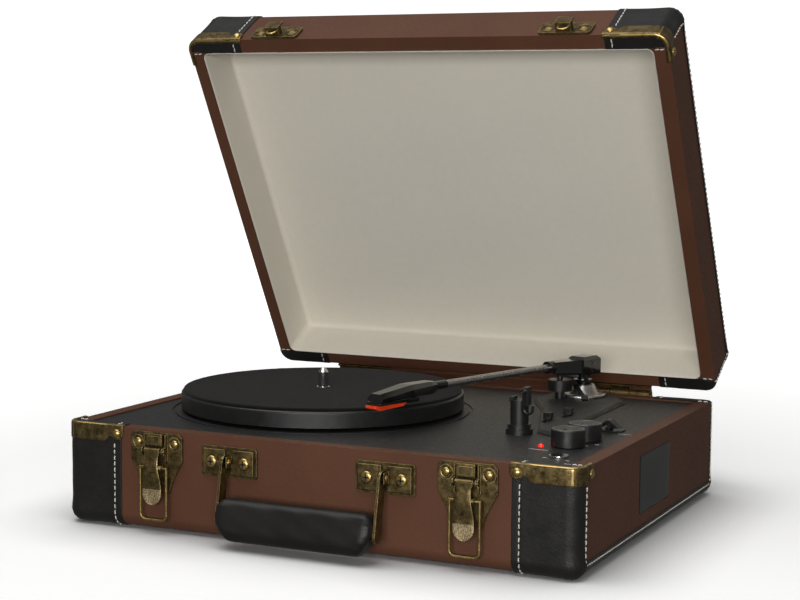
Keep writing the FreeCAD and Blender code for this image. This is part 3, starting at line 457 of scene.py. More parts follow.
def slab(name, outline, lift, look, body):
    """A flat plate: outline is (x, z) on the case's front, lift is (back, front) off the face."""
    points = [at(x, FRONT - out, z) for out in lift for x, z in outline]
    return piece(name, points, prism(len(outline)), look, body, smooth=False)


def rectangle(x, z):
    """A rectangular outline; x and z are (low, high)."""
    return [(x[0], z[0]), (x[1], z[0]), (x[1], z[1]), (x[0], z[1])]


def brass_slab(name, outline, lift, rounding, segments=2):
    return bevel(slab(name, outline, lift, "antique_brass", "base"), rounding, segments)


def thicken(made, thickness, offset=0):
    """Give a sheet its thickness: offset -1 grows it inwards, 0 both ways."""
    solid = made.modifiers.new("thickness", "SOLIDIFY")
    solid.thickness = thickness * MM
    solid.offset = offset


def join(name, parts):
    """Several pieces of one body as one piece, keeping each one's finish."""
    bpy.ops.object.select_all(action="DESELECT")
    for part in parts:
        part.select_set(True)
    for part in parts:
        bpy.context.view_layer.objects.active = part
        for modifier in list(part.modifiers):
            bpy.ops.object.modifier_apply(modifier=modifier.name)
    bpy.context.view_layer.objects.active = parts[0]
    bpy.ops.object.join()
    parts[0].name = name
    parts[0].data.name = name
    return parts[0]


def arc(cx, cz, radius, start, stop, steps):
    """Points on an arc, degrees anticlockwise from +X."""
    angles = [math.radians(start + (stop - start) * k / steps) for k in range(steps + 1)]
    return [(cx + radius * math.cos(a), cz + radius * math.sin(a)) for a in angles]


def circle(count):
    """Angles evenly round a full turn."""
    return [math.tau * k / count for k in range(count)]


def spaced(low, high, count):
    return [low + (high - low) * k / (count - 1) for k in range(count)]


def smooth_step(x, low, high):
    t = min(1.0, max(0.0, (x - low) / (high - low)))
    return t * t * (3 - 2 * t)


# ---- the case's outer skin
class Shell:
    """The outside of one half of the case.  s runs along its outline from the middle of the
    front, round the corner and along the side; t runs over the rim, down the wall and underneath.
    The rear corners and the left side are mirror images."""

    def __init__(self, rim_z, up, depth, place, body):
        self.rim_z = rim_z
        self.up = up
        self.depth = depth
        self.place = place
        self.body = body
        self.t_wall = RIM_R * math.pi / 2
        self.t_edge = self.t_wall + depth - RIM_R - EDGE_R
        self.t_under = self.t_edge + EDGE_R * math.pi / 2
        self.s_arc = HALF_W - CORNER_R
        self.s_side = self.s_arc + CORNER_R * math.pi / 2
        self.s_back = self.s_side + 2 * (HALF_D - CORNER_R)

    def t_at(self, h):
        """t of a point on the wall or bottom edge that is h from the rim."""
        if h <= self.depth - EDGE_R:
            return self.t_wall + h - RIM_R
        return self.t_edge + EDGE_R * math.asin((h - self.depth + EDGE_R) / EDGE_R)

    def s_at_side(self, y):
        """s of a point on the side or its front corner that is at y."""
        if y >= FRONT + CORNER_R:
            return self.s_side + y - FRONT - CORNER_R
        return self.s_arc + CORNER_R * math.acos((FRONT + CORNER_R - y) / CORNER_R)

    def down(self, t):
        """Inset, distance from the rim, and the outward and upward parts of the normal."""
        if t <= 0:
            return RIM_R - t, 0.0, 0.0, 1.0
        if t < self.t_wall:
            a = t / RIM_R
            return RIM_R * (1 - math.sin(a)), RIM_R * (1 - math.cos(a)), math.sin(a), math.cos(a)
        if t < self.t_edge:
            return 0.0, RIM_R + t - self.t_wall, 1.0, 0.0
        if t < self.t_under:
            a = (t - self.t_edge) / EDGE_R
            drop = self.depth - EDGE_R + EDGE_R * math.sin(a)
            return EDGE_R * (1 - math.cos(a)), drop, math.cos(a), -math.sin(a)
        return EDGE_R + t - self.t_under, self.depth, 0.0, -1.0

    def around(self, s, inset):
        """Position and outward direction on the outline, inset from the outside."""
        if s <= self.s_arc:
            return s, FRONT + inset, 0.0, -1.0
        if s >= self.s_side:
            return HALF_W - inset, FRONT + CORNER_R + s - self.s_side, 1.0, 0.0
        a = (s - self.s_arc) / CORNER_R
        r = max(CORNER_R - inset, 0.0)
        out_x, out_y = math.sin(a), -math.cos(a)
        return self.s_arc + r * out_x, FRONT + CORNER_R + r * out_y, out_x, out_y

    def normal(self, s, t, side=1, back=False):
        out_x, out_y = self.around(s, 0.0)[2:]
        out, rise = self.down(t)[2:]
        n = Vector((side * out_x * out, (-1 if back else 1) * out_y * out, self.up * rise))
        return (self.place.to_3x3() @ n).normalized()

    def point(self, s, t, lift=0.0, side=1, back=False):
        """A point on the skin; side -1 is the left half, back the rear half."""
        inset, drop, out, rise = self.down(t)
        x, y, out_x, out_y = self.around(s, inset)
        x += out_x * out * lift
        y += out_y * out * lift
        z = self.rim_z - self.up * drop + self.up * rise * lift
        return self.place @ at(side * x, -y if back else y, z)


BASE = Shell(RIM_Z, 1, RIM_Z - CASE_BOTTOM, SHUT, "base")
LID = Shell(RIM_Z + LID_GAP, -1, LID_H, OPEN, "lid")
CORNERS = [(side, back) for back in (False, True) for side in (-1, 1)]
T_INNER = -(WALL - RIM_R)        # where the rim's top meets the inside of the case


def rolled(distance, reach=0.55, depth=SKIN):
    """How far a leather edge drops to the board, by distance from the cut edge."""
    if distance >= reach:
        return 0.0
    return -depth * (1 - math.sqrt(max(0.0, 1 - (1 - distance / reach) ** 2)))


def leather_lift(shell, s, t, s_cut, s_end, s_stitch):
    """Height of the corner leather over the skin: rolled cut edges, a drawn-in stitch line,
    a fuller lower corner and gathered pleats under it."""
    lift = 0.18 + rolled(min(s - s_cut, s_end - s)) + rolled(t - T_INNER + 0.05)
    for line in (STITCH_FRONT, s_stitch):
        lift -= 0.22 * math.exp(-((s - line) / 0.7) ** 2)
    low = smooth_step(t, shell.t_edge - 10, shell.t_edge + 4)
    full = smooth_step(s, shell.s_arc - 12, shell.s_arc + 6)
    lift += 0.55 * low * full
    pleat = math.exp(-((s - s_stitch + 4) / 7) ** 2)
    pleat *= smooth_step(t, shell.t_edge - 6, shell.t_edge + 3)
    lift += 0.32 * pleat * math.sin(s * 1.9 + t * 0.35) * math.sin(t * 0.9 + s * 0.25)
    soft = math.sin(s * 0.21 + t * 0.13) * math.sin(t * 0.17 - s * 0.08)
    return lift + 0.10 * soft


def cut_edges(low, high, count):
    """Values from low to high that are close together at both ends."""
    ends = [0.0, 0.05, 0.14, 0.28, 0.45, 0.6]
    middle = spaced(low + 1.0, high - 1.0, count)
    return [low + e for e in ends] + middle + [high - e for e in reversed(ends)]


def corner_leather(shell):
    """The sewn leather over the four corners of one half of the case."""
    parts = []
    s_stitch = shell.s_at_side(STITCH_SIDE)
    s_cut, s_end = LEATHER_FRONT, shell.s_side
    for side, back in CORNERS:
        rows = []
        for t in cut_edges(T_INNER, shell.t_under + UNDER, 96):
            rows.append([shell.point(s, t, leather_lift(shell, s, t, s_cut, s_end, s_stitch),
                                     side, back) for s in cut_edges(s_cut, s_end, 62)])
        parts.append(grid("skin", rows, "black_leather", shell.body))
    made = join(shell.body + "_corner_leather_sewn", parts)
    thicken(made, LEATHER_T, -1)
    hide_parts(shell.body + "_corner_leather")


def side_band(shell):
    """The leather strip along the foot of each side, between the corner pieces."""
    parts = []
    top = shell.t_at(shell.depth - BAND_TOP + MARGIN)
    for side in (-1, 1):
        rows = []
        for t in cut_edges(top, shell.t_under + UNDER, 16):
            row = []
            for s in spaced(shell.s_side - 0.1, shell.s_back + 0.1, 120):
                near = min(s - shell.s_side, shell.s_back - s)
                wave = 0.06 * math.sin(s * 0.31) * math.sin(s * 0.117 + 1)
                lift = 0.12 + rolled(t - top) + wave + 0.5 * math.exp(-(near / 7) ** 2)
                lift -= 0.2 * math.exp(-((t - shell.t_at(shell.depth - BAND_STITCH + MARGIN))
                                         / 0.6) ** 2)
                row.append(shell.point(min(s, shell.s_back), t, lift, side))
            rows.append(row)
        parts.append(grid("band", rows, "black_leather", shell.body))
    made = join(shell.body + "_side_bands_sewn", parts)
    thicken(made, LEATHER_T, -1)
    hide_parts(shell.body + "_side_bands")


# ---- stitching
PITCH = 3.9
STITCH = 2.9
THREAD_R = 0.42


def sew(path, points, faces):
    """Add a row of stitches along path, a list of (point, normal) pairs in metres."""
    lengths = [0.0]
    for start, end in zip(path, path[1:]):
        lengths.append(lengths[-1] + (end[0] - start[0]).length)

    def on_path(d):
        for i in range(1, len(path)):
            if d <= lengths[i] or i == len(path) - 1:
                span = max(lengths[i] - lengths[i - 1], 1e-9)
                f = (d - lengths[i - 1]) / span
                return path[i - 1][0].lerp(path[i][0], f), path[i - 1][1].lerp(path[i][1], f)

    count = max(1, round(lengths[-1] / (PITCH * MM)))
    step = lengths[-1] / count
    for k in range(count):
        slip = rng.uniform(-0.12, 0.12) * MM
        tilt = rng.uniform(-0.2, 0.2) * MM
        start = step * k + (step - STITCH * MM) / 2 + slip
        add_stitch([on_path(start + STITCH * MM * f) for f in (0, 0.12, 0.35, 0.65, 0.88, 1)],
                   tilt, points, faces)


def add_stitch(stations, tilt, points, faces):
    along = (stations[-1][0] - stations[0][0]).normalized()
    shapes = ((0.35, -0.25), (0.9, 0.15), (1.0, 0.42), (1.0, 0.42), (0.9, 0.15), (0.35, -0.25))
    start = len(points)
    sides = 7
    for k, ((centre, normal), (fat, rise)) in enumerate(zip(stations, shapes)):
        across = along.cross(normal).normalized()
        lean = across * tilt * (k / 2.5 - 1)
        for j in range(sides):
            a = math.tau * j / sides
            points.append(centre + lean + normal * rise * THREAD_R * MM
                          + (across * math.cos(a) + normal * math.sin(a)) * fat * THREAD_R * MM)
    for k in range(len(stations) - 1):
        for j in range(sides):
            q = (j + 1) % sides
            a = start + k * sides
            faces.append((a + j, a + q, a + sides + q, a + sides + j))
    faces.append(tuple(range(start, start + sides)))
    faces.append(tuple(range(start + (len(stations) - 1) * sides, start + len(stations) * sides)))


def shell_stitches(shell):
    """Every row of stitches on one half of the case."""
    points, faces = [], []
    s_stitch = shell.s_at_side(STITCH_SIDE)
    t_band = shell.t_at(shell.depth - BAND_STITCH + MARGIN)

    def row(values):
        """Sew along (s, t) values, on the corner that the loops below have reached."""
        sew([(shell.point(s, t, 0.12, side, back), shell.normal(s, t, side, back))
             for s, t in values], points, faces)

    for side, back in CORNERS:
        under_guard = not back
        t_top = shell.t_at(GUARD_DEPTH + 0.6) if under_guard else -0.5
        rim_out = -GUARD_LIP - 0.6 if under_guard else -0.8
        row([(STITCH_FRONT, t) for t in spaced(t_top, shell.t_under + 3, 30)])
        row([(STITCH_FRONT, t) for t in spaced(T_INNER + 0.8, rim_out, 8)])
        row([(s_stitch + 2.0, t) for t in spaced(T_INNER + 0.8, rim_out, 8)])
        down = [(s_stitch, t) for t in spaced(t_top, t_band - 5, 24)]
        turn = [(s_stitch + 5.5 * (1 - math.cos(a)), t_band - 5 + 5 * math.sin(a))
                for a in spaced(0.1, math.pi / 2, 8)]
        row(down + turn)
    middle = shell.s_side + (shell.s_back - shell.s_side) / 2
    for side in (-1, 1):
        for back in (False, True):
            row([(s, t_band) for s in spaced(s_stitch + 6.0, middle, 60)])
    piece(shell.body + "_stitches", points, faces, "stitch_thread", shell.body)


# ---- brass corner guards
BEND_WEAR_AND_HIGHLIGHT = (0.13, 0.165)        # the share of the guard's height that is bright: rubbed wear and a painted highlight
TAB = 4.65                       # radius of the round tab at each end
TAB_IN = 4.6                     # its middle and its rivet, in from the guard's end


def guard_edge(s, ends):
    """How far down the guard reaches at s: a round tab at each end, a notch, then level."""
    reach = GUARD_DEPTH - 3.6 * math.exp(-((min(abs(s - e) for e in ends) - 9.4) / 2.6) ** 2)
    for e in ends:
        d = abs(s - e) - TAB_IN
        if abs(s - e) <= 9.3:
            tab = 4.6 + math.sqrt(max(0.0, TAB ** 2 - d * d))
            reach = tab if abs(s - e) < 8.2 else max(tab, reach)
    return reach


def two_sided(n, m):
    """Faces of a closed sheet: an outer and an inner grid of n rows of m, then its four edges."""
    half = n * m
    cells = [i * m + j for i in range(n - 1) for j in range(m - 1)]
    faces = []
    for a in cells:
        faces.append((a, a + 1, a + m + 1, a + m))
        faces.append((half + a, half + a + m, half + a + m + 1, half + a + 1))
    for a in (i * m + j for i in range(n - 1) for j in (0, m - 1)):
        faces.append((a, a + m, half + a + m, half + a))
    for a in (i * m + j for j in range(m - 1) for i in (0, n - 1)):
        faces.append((a, a + 1, half + a + 1, half + a))
    return faces


def corner_guards(shell):
    """The two pressed guards over the front corners, with a rivet at each end."""
    parts = []
    ends = (GUARD_FRONT, shell.s_at_side(FRONT + GUARD_SIDE))
    columns = (spaced(ends[0], ends[0] + 11, 34) + spaced(ends[0] + 11.8, ends[1] - 11.8, 36)
               + spaced(ends[1] - 11, ends[1], 34))
    steps = [0.0, 0.02, 0.05, 0.1, 0.13, 0.165, 0.2, 0.24, 0.29, 0.4, 0.55, 0.7, 0.84, 0.94, 0.98, 1.0]
    crease = shell.s_arc + 4.1
    for side in (-1, 1):
        outer, inner = [], []
        for v in steps:
            front_row, back_row = [], []
            for s in columns:
                t = -GUARD_LIP + (guard_edge(s, ends) + GUARD_LIP + 0.6) * v
                rim = min(v, 1 - v) * 14
                end = min(s - ends[0], ends[1] - s)
                top = GUARD_LIFT - 0.2 * max(0.0, 1 - rim / 0.35) - 0.2 * max(0.0, 1 - end / 0.4)
                front_row.append(shell.point(s, t, max(top, 0.4), side))
                back_row.append(shell.point(s, t, 0.12, side))
            outer.append(front_row)
            inner.append(back_row)
        points = [p for row in outer + inner for p in row]
        n, m = len(steps), len(columns)
        plate = piece("guard", points, two_sided(n, m), "antique_brass", shell.body)
        plate.data.materials.append(finish("brass_worn"))
        # The bend over the rim, the sheet's edges and the crease on the corner's arc take brass_worn: a painted
        # highlight, with wear on the bend and edges.
        for k, polygon in enumerate(plate.data.polygons):
            i, j = divmod(k // 2, m - 1)
            rim_wear_and_highlight = i >= n - 1
            bend_wear_and_highlight = not rim_wear_and_highlight and BEND_WEAR_AND_HIGHLIGHT[0] <= steps[i] <= BEND_WEAR_AND_HIGHLIGHT[1]
            crease_highlight = not rim_wear_and_highlight and abs((columns[j] + columns[j + 1]) / 2 - crease) < 0.5
            if rim_wear_and_highlight or bend_wear_and_highlight or crease_highlight:
                polygon.material_index = 1
        parts.append(plate)
        # The rivet domes are bright brass_worn: rubbed wear with a painted highlight.
        for s in (ends[0] + TAB_IN, ends[1] - TAB_IN):
            t = shell.t_at(5.0)
            dome = [(2.75, 0.0), (2.75, 0.25), (2.3, 0.75), (1.6, 1.2), (0.8, 1.45), (0.05, 1.52)]
            parts.append(lathe("rivet", dome, shell.point(s, t, 0.7, side),
                               shell.normal(s, t, side), "brass_worn", shell.body, 24))
    made = join(shell.body + "_corner_guards_pressed", parts)
    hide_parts(shell.body + "_corner_guards")


# ---- draw latches
LATCH_X = 106.0
LEVER_T = 1.1
LEVER_ACROSS = (-1, -0.97, -0.85, -0.5, 0, 0.5, 0.85, 0.97, 1)
RUBBED_AND_SHEEN_Z = 29.5                  # the lever's finger end is pale below this: rubbed wear and a painted sheen
lever_joint = JOINTS["latch_lever_right_pivot"]
LATCH_PIVOT_Z = lever_joint["pos_m"][2] / MM
LATCH_PIVOT_OUT = FRONT - (lever_joint["pos_m"][1] / MM - MID_Y)


def rivet(x, z, out, radius):
    """A domed rivet in a pressed ring, on the base's front; its bright head is rubbed wear with a painted
    highlight.
    """
    ring = [(radius * 1.6, 0.0), (radius * 1.55, 0.35), (radius * 1.35, 0.45),
            (radius * 1.18, 0.1), (radius * 0.5, 0.1)]
    head = [(radius * 0.97, 0.05), (radius * 0.94, 0.55), (radius * 0.76, 1.0),
            (radius * 0.42, 1.3), (0.05, 1.4)]
    centre = at(x, FRONT - out, z)
    return [lathe("ring", ring, centre, (0, -1, 0), "antique_brass", "base", 28),
            lathe("head", head, centre, (0, -1, 0), "brass_worn", "base", 28)]


def latch_outline(x):
    """Chamfered shoulders, straight sides, then hollow flanks down to a narrow foot."""
    right = [(9.0, 64.4), (16.4, 64.4), (19.0, 61.8), (19.0, 46.8)]
    right += [(10.2 + 8.8 * (1 - k / 8) ** 1.35, 46.8 - 19.2 * (k / 8)) for k in range(1, 8)]
    right += arc(8.6, 27.6, 1.6, 0, -90, 4)
    left = [(-px, pz) for px, pz in reversed(right)]
    return [(x + px, pz) for px, pz in right + left]


def latch_plate(x):
    """The plate, its raised cover and two cheeks with ears, which carry the lever's pin."""
    pivot_z = LATCH_PIVOT_Z
    parts = [brass_slab("plate", latch_outline(x), (0.0, 1.3), 0.45, 3)]
    low, high = pivot_z + 2.9, 64.0
    cover = rectangle((x - 6.2, x + 6.2), (low, high))
    inset = rectangle((x - 4.4, x + 4.4), (low + 1.6, high - 1.6))
    parts.append(brass_slab("cover", cover, (1.2, 4.7), 0.9, 3))
    parts.append(brass_slab("panel", inset, (4.6, 4.95), 0.2))
    for side in (-1, 1):
        cheek_x = x + side * 7.5
        cheek = rectangle((cheek_x - 0.6, cheek_x + 0.6), (46.5, 63.4))
        parts.append(brass_slab("cheek", cheek, (1.0, 3.4), 0.25))
        ear = arc(0, 0, 2.5, 0, 360, 20)[:-1]
        points = [at(cheek_x - side * 0.2 + dx, FRONT - LATCH_PIVOT_OUT + dy, pivot_z + dz)
                  for dx in (-0.55, 0.55) for dy, dz in ear]
        parts.append(bevel(piece("ear", points, prism(len(ear)), "antique_brass", "base", False), 0.2))
        bridge = rectangle((cheek_x - 0.55, cheek_x + 0.55), (pivot_z - 2.4, pivot_z + 2.4))
        parts.append(brass_slab("bridge", bridge, (1.0, LATCH_PIVOT_OUT), 0.2))
        parts += rivet(x + side * 13.4, 57.8, 1.2, 2.7)
    pin = [(0.9, -8.6), (1.15, -8.4), (1.15, 8.4), (0.9, 8.6)]
    parts.append(lathe("pin", pin, at(x, FRONT - LATCH_PIVOT_OUT, pivot_z), (1, 0, 0),
                       "antique_brass", "base", 16))
    return parts


def latch_plates():
    made = join("latch_plates_pressed", latch_plate(-LATCH_X) + latch_plate(LATCH_X))
    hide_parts("latch_plates")


def lever_half_width(z):
    """Broad at the hinge, waisted below it, then widening to the round finger end."""
    centre = 26.0
    if z <= centre:
        return math.sqrt(max(0.0, 6.7 ** 2 - (centre - z) ** 2))
    waist = 4.55 + 2.15 * smooth_step(48.0 - z, 0.0, 20.0)
    return waist + 1.0 * smooth_step(z, 49.5, 52.0)


def latch_lever(side, body):
    """A pressed lever hung on its pin, with a dished finger end that is pale from rubbed wear and a painted sheen.
    """
    x = side * LATCH_X
    zs = [19.32, 19.5, 20.0, 20.8, 22.0, 23.5, 25.0, 26.5, 28.0, 29.2, 29.8]
    zs += spaced(31.0, LATCH_PIVOT_Z, 18)
    rows = []
    for z in zs:
        half = max(lever_half_width(z), 0.4)
        bulge = 7.2 + 0.9 * math.sin(math.pi * smooth_step(z, 30, 52)) + 0.5 * smooth_step(30 - z, 0, 9)
        row = []
        for u in LEVER_ACROSS:
            edge = 0.4 * max(0.0, abs(u) - 0.85) / 0.15
            dish = 0.45 * (1 - u * u) * smooth_step(30 - z, 0, 5)
            row.append(at(x + half * u, FRONT - bulge + edge + dish, z))
        rows.append(row)
    roll = []
    for a in spaced(0.0, math.radians(200), 10):
        out = 5.0 + 2.3 * math.cos(a)
        up = LATCH_PIVOT_Z + 2.3 * math.sin(a)
        roll.append([at(x + lever_half_width(LATCH_PIVOT_Z) * u, FRONT - out, up)
                     for u in LEVER_ACROSS])
    sheet = grid("lever", rows + roll[1:], "antique_brass", body)
    sheet.data.materials.append(finish("rubbed_brass"))
    for polygon in sheet.data.polygons:
        if polygon.center.z < RUBBED_AND_SHEEN_Z * MM:
            polygon.material_index = 1
    thicken(sheet, LEVER_T, -1)
    bevel(sheet, 0.25, 2, 50)
    barrel = [(1.75, -6.4), (1.95, -6.2), (1.95, 6.2), (1.75, 6.4)]
    lever_pivot = JOINTS[body + "_pivot"]["pos_m"]
    loop_pivot = JOINTS[body.replace("lever", "loop") + "_pivot"]["pos_m"]
    hub = lathe("barrel", barrel, Vector((lever_pivot[0], loop_pivot[1], loop_pivot[2])),
                (1, 0, 0), "antique_brass", body, 20)
    made = join(body + "_pressed", [sheet, hub])
    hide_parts(body)


def lid_catch_rings():
    """Pressed rings on the ears of the lid catches, and the eyelet below each hook."""
    parts = []
    top = RIM_Z + LID_GAP
    out = 1.2
    for x in (-LATCH_X, LATCH_X):
        for dx in (-12.3, 12.3):
            parts.append(ring_piece(x + dx, top + 7.6, out, 3.9, 0.75))
        parts.append(ring_piece(x + 0.5, top + 1.6, out + 4.0, 3.6, 0.8))
    join("lid_catch_rings", parts)


def ring_piece(x, z, out, radius, wire):
    """A ring on the lid's front wall, bright where it stands proud: rubbed wear with a painted highlight."""
    rows = []
    for a in circle(32):
        rows.append([OPEN @ at(x + (radius + wire * math.cos(b)) * math.cos(a),
                               FRONT - out - wire * 0.8 * math.sin(b),
                               z + (radius + wire * math.cos(b)) * math.sin(a))
                     for b in circle(10)])
    return grid("ring", rows, "brass_worn" if out > 2 else "antique_brass", "lid", round_u=True,
                round_v=True)


# ---- handle brackets and grip
BRACKET_X = 53.3
ARM_X = 53.5
SCREW_X = 11.4                   # from the middle of a bracket
PAD_OUT = 2.9
GRIP_LEAN = 11.0                 # how the handle hangs from its pivot
GRIP_DROP = 34.5
GRIP_HALF = 52.0


def handle_brackets():
    """A thin plate, two raised bevelled pads, and the eyes that hold the handle's arms."""
    pivot = JOINTS["handle_pivot"]["pos_m"]
    z = pivot[2] / MM
    out = FRONT - (pivot[1] / MM - MID_Y)
    parts, screws = [], []
    for bx in (-BRACKET_X, BRACKET_X):
        plate = arc(bx + 17.6, 42.4, 2.0, -90, 0, 5) + arc(bx + 17.6, 57.6, 2.0, 0, 90, 5)
        plate += arc(bx - 17.6, 57.6, 2.0, 90, 180, 5) + arc(bx - 17.6, 42.4, 2.0, 180, 270, 5)
        parts.append(brass_slab("plate", plate, (0.0, 1.1), 0.25))
        for side in (-1, 1):
            pad = rectangle(sorted((bx + side * 1.9, bx + side * 18.0)), (42.0, 58.0))
            parts.append(brass_slab("pad", pad, (1.0, PAD_OUT), 0.8))
            screws += phillips(bx + side * SCREW_X, 50.0, PAD_OUT)
            cx = math.copysign(ARM_X, bx) + side * 2.2
            cheek = rectangle((cx - 0.6, cx + 0.6), (z - 3.6, z + 3.6))
            parts.append(brass_slab("cheek", cheek, (1.0, out + 2.6), 0.5, 3))
            # Bright brass_worn pin heads: rubbed wear with a painted highlight.
            head = [(1.9, 0.0), (1.8, 0.5), (1.2, 0.95), (0.05, 1.1)]
            parts.append(lathe("pin_head", head, at(cx + side * 0.55, FRONT - out, z),
                               (side, 0, 0), "brass_worn", "base", 20))
    made = join("handle_brackets_pressed", parts)
    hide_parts("handle_brackets")
    heads = join("handle_screw_heads", screws)
    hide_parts("handle_screws")


def phillips(x, z, out):
    """A pan-head screw in bright brass (wear and a painted highlight), with its cross recess as painted shade."""
    profile = [(3.8, 0.0), (3.75, 0.5), (3.3, 1.0), (2.5, 1.3), (1.3, 1.45), (0.05, 1.5)]
    parts = [lathe("head", profile, at(x, FRONT - out, z), (0, -1, 0), "brass_worn", "base", 32)]
    # The cross recess is painted shade: two black bars laid into the head.
    for half_x, half_z in ((2.2, 0.5), (0.5, 2.2)):
        bar = rectangle((x - half_x, x + half_x), (z - half_z, z + half_z))
        parts.append(slab("cross", bar, (out + 0.9, out + 1.52), "board_black", "base"))
    return parts


def handle_grip():
    """Padded leather round the steel core: full on top, tucked in at its lower ends."""
    pivot = Vector(JOINTS["handle_pivot"]["pos_m"])
    turn = Matrix.Rotation(math.radians(-GRIP_LEAN), 4, "X")
    rows = []
    for u in [math.sin(math.pi / 2 * v) for v in spaced(-1, 1, 81)]:
        reach = abs(u)
        swell = (1 - max(0.0, (reach - 0.86) / 0.14) ** 2.4) ** (1 / 2.4) if reach < 1 else 0.0
        swell = max(swell, 0.02)
        row = []
        for a in circle(56):
            c, s = math.cos(a), math.sin(a)
            power = 2 / 3.0
            y = math.copysign(abs(c) ** power, c) * 9.4 * (0.45 + 0.55 * swell)
            z = math.copysign(abs(s) ** power, s) * 13.2 * (0.35 + 0.65 * swell) + 0.2
            half = GRIP_HALF - 0.2 - 5.0 * smooth_step(-z, -2, 13) + 1.4 * smooth_step(-y, 0, 8)
            crease = smooth_step(reach, 0.80, 0.97) * math.sin(z * 1.25 + y * 0.5 + 2 * u)
            y += 0.30 * crease * (1 if c < 0 else -1)
            soft = 0.22 * math.sin(u * 9 + z * 0.2) * math.cos(z * 0.33 + u * 4)
            seam = 0.35 * math.exp(-((z + 9.5) / 0.8) ** 2) if c < 0 else 0.0
            local = Vector((u * half, y - 1.0 + (soft + seam if c < 0 else -soft), z - GRIP_DROP))
            row.append(pivot + turn @ (local * MM))
        rows.append(row)
    made = grid("handle_grip_leather", rows, "grip_leather", "handle", round_u=True, caps=True)
    smoother = made.modifiers.new("smooth", "SUBSURF")
    smoother.levels = 1
    smoother.render_levels = 1
    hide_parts("handle_grip")


# ---- cloth
def ring_of(half_x, half_y, radius, count_straight=14, count_arc=7):
    """Points of a rounded rectangle about the origin, anticlockwise."""
    points = []
    for cx, cy, start in ((1, 1, 0), (-1, 1, 90), (-1, -1, 180), (1, -1, 270)):
        corner = arc(cx * (half_x - radius), cy * (half_y - radius), radius, start, start + 90,
                     count_arc)
        points += corner
        nx, ny = corner[-1]
        turn = math.radians(start + 90)
        length = 2 * ((half_x if start in (0, 180) else half_y) - radius)
        for k in range(1, count_straight):
            f = k / count_straight * length
            points.append((nx - math.sin(turn) * f, ny + math.cos(turn) * f))
    return points


def lid_lining():
    """Cream cloth glued over the inside of the lid, rounded where the walls meet the panel."""
    top = RIM_Z + LID_GAP
    roof = top + LID_H - LID_PANEL
    bend = 3.5
    inset = WALL + 0.35
    half_x, half_y = HALF_W - inset, HALF_D - inset
    rows = []
    for z in (top - 0.55, top - 0.1, top + 2, top + 7, top + 13, top + 19, roof - bend):
        rows.append((0.0 if z > top - 0.3 else -0.2, z))
    for a in spaced(0.12, math.pi / 2, 9):
        rows.append((bend * (1 - math.cos(a)), roof - bend + bend * math.sin(a)))
    rows = [[(x, y, z) for x, y in ring_of(half_x - d, half_y - d, 4.6)]
            for d, z in rows]
    flat = rows[-1]
    for f in spaced(0.965, 0.02, 26):
        rows.append([(x * f, y * f, roof) for x, y, z in flat])
    built = []
    for row in rows:
        line = []
        for x, y, z in row:
            inside = smooth_step(z, roof - bend - 6, roof)
            wave = math.sin(x * 0.041 + y * 0.028) * math.sin(y * 0.047 - x * 0.018 + 1.2)
            ripple = math.sin(x * 0.13 + 2.1 * math.sin(y * 0.05)) * math.sin(y * 0.09)
            edge = smooth_step(min(half_x - abs(x), half_y - abs(y)), 0, 26)
            z -= 0.35 * inside + (0.30 * wave + 0.10 * ripple) * inside * edge
            line.append(OPEN @ at(x, y, z))
        built.append(line)
    made = grid("lid_lining_cloth", built, "cream_lining", "lid", round_u=True, cap_end=True)
    thicken(made, CLOTH_T)
    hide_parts("lid_lining")


def hinge_cover():
    """The covering strip that closes the gap at the back, wrapped round the hinge barrels."""
    hinge_y, hinge_z = HINGE.y / MM - MID_Y, HINGE.z / MM
    barrel = 4.7                 # radius of the strip round the barrels
    turn = 1.5                   # and of its inner bend onto the lid's back wall
    back = HALF_D + 1.7
    half = 126.0
    bend_z = hinge_z + barrel + turn
    path = [(back - 0.5, hinge_z + 14.0), (back, hinge_z + 13.0), (back, bend_z)]
    path += [(back + turn - turn * math.cos(a), bend_z - turn * math.sin(a))
             for a in spaced(0.3, math.pi / 2, 5)]
    path += [(hinge_y + barrel * math.sin(a), hinge_z + barrel * math.cos(a))
             for a in spaced(0.0, 1.6, 12)]
    rows = [[OPEN @ at(x, y, z) for x in spaced(-half, half, 60)] for y, z in path]
    made = grid("hinge_cover", rows, "brown_leatherette", "lid")
    thicken(made, LEATHER_T)


def grille_panels():
    """Loudspeaker cloth stretched over a board in each side."""
    for side, name in ((-1, "left"), (1, "right")):
        low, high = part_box("speaker_grilles")
        half_y = (high.y - low.y) / 2 / MM + 0.12
        half_z = (high.z - low.z) / 2 / MM + 0.12
        mid_y = (high.y + low.y) / 2 / MM - MID_Y
        mid_z = (high.z + low.z) / 2 / MM
        rows = []
        for d, out in ((0.0, -3.0), (0.0, -1.6), (0.25, -0.95), (0.8, -0.6), (1.8, -0.5)):
            rows.append([(y, z, out) for y, z in ring_of(half_y - d, half_z - d, 2.5, 16, 6)])
        flat = rows[-1]
        for f in spaced(0.9, 0.03, 12):
            rows.append([(y * f, z * f, -0.5 + 0.25 * (1 - f * f)) for y, z, out in flat])
        built = [[at(side * (HALF_W + out), mid_y + y, mid_z + z) for y, z, out in row]
                 for row in rows]
        made = grid("speaker_grille_cloth_" + name, built, "grille_black", "base", round_u=True,
                    cap_end=True)
        thicken(made, CLOTH_T)
        if side == 1:
            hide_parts("speaker_grilles")


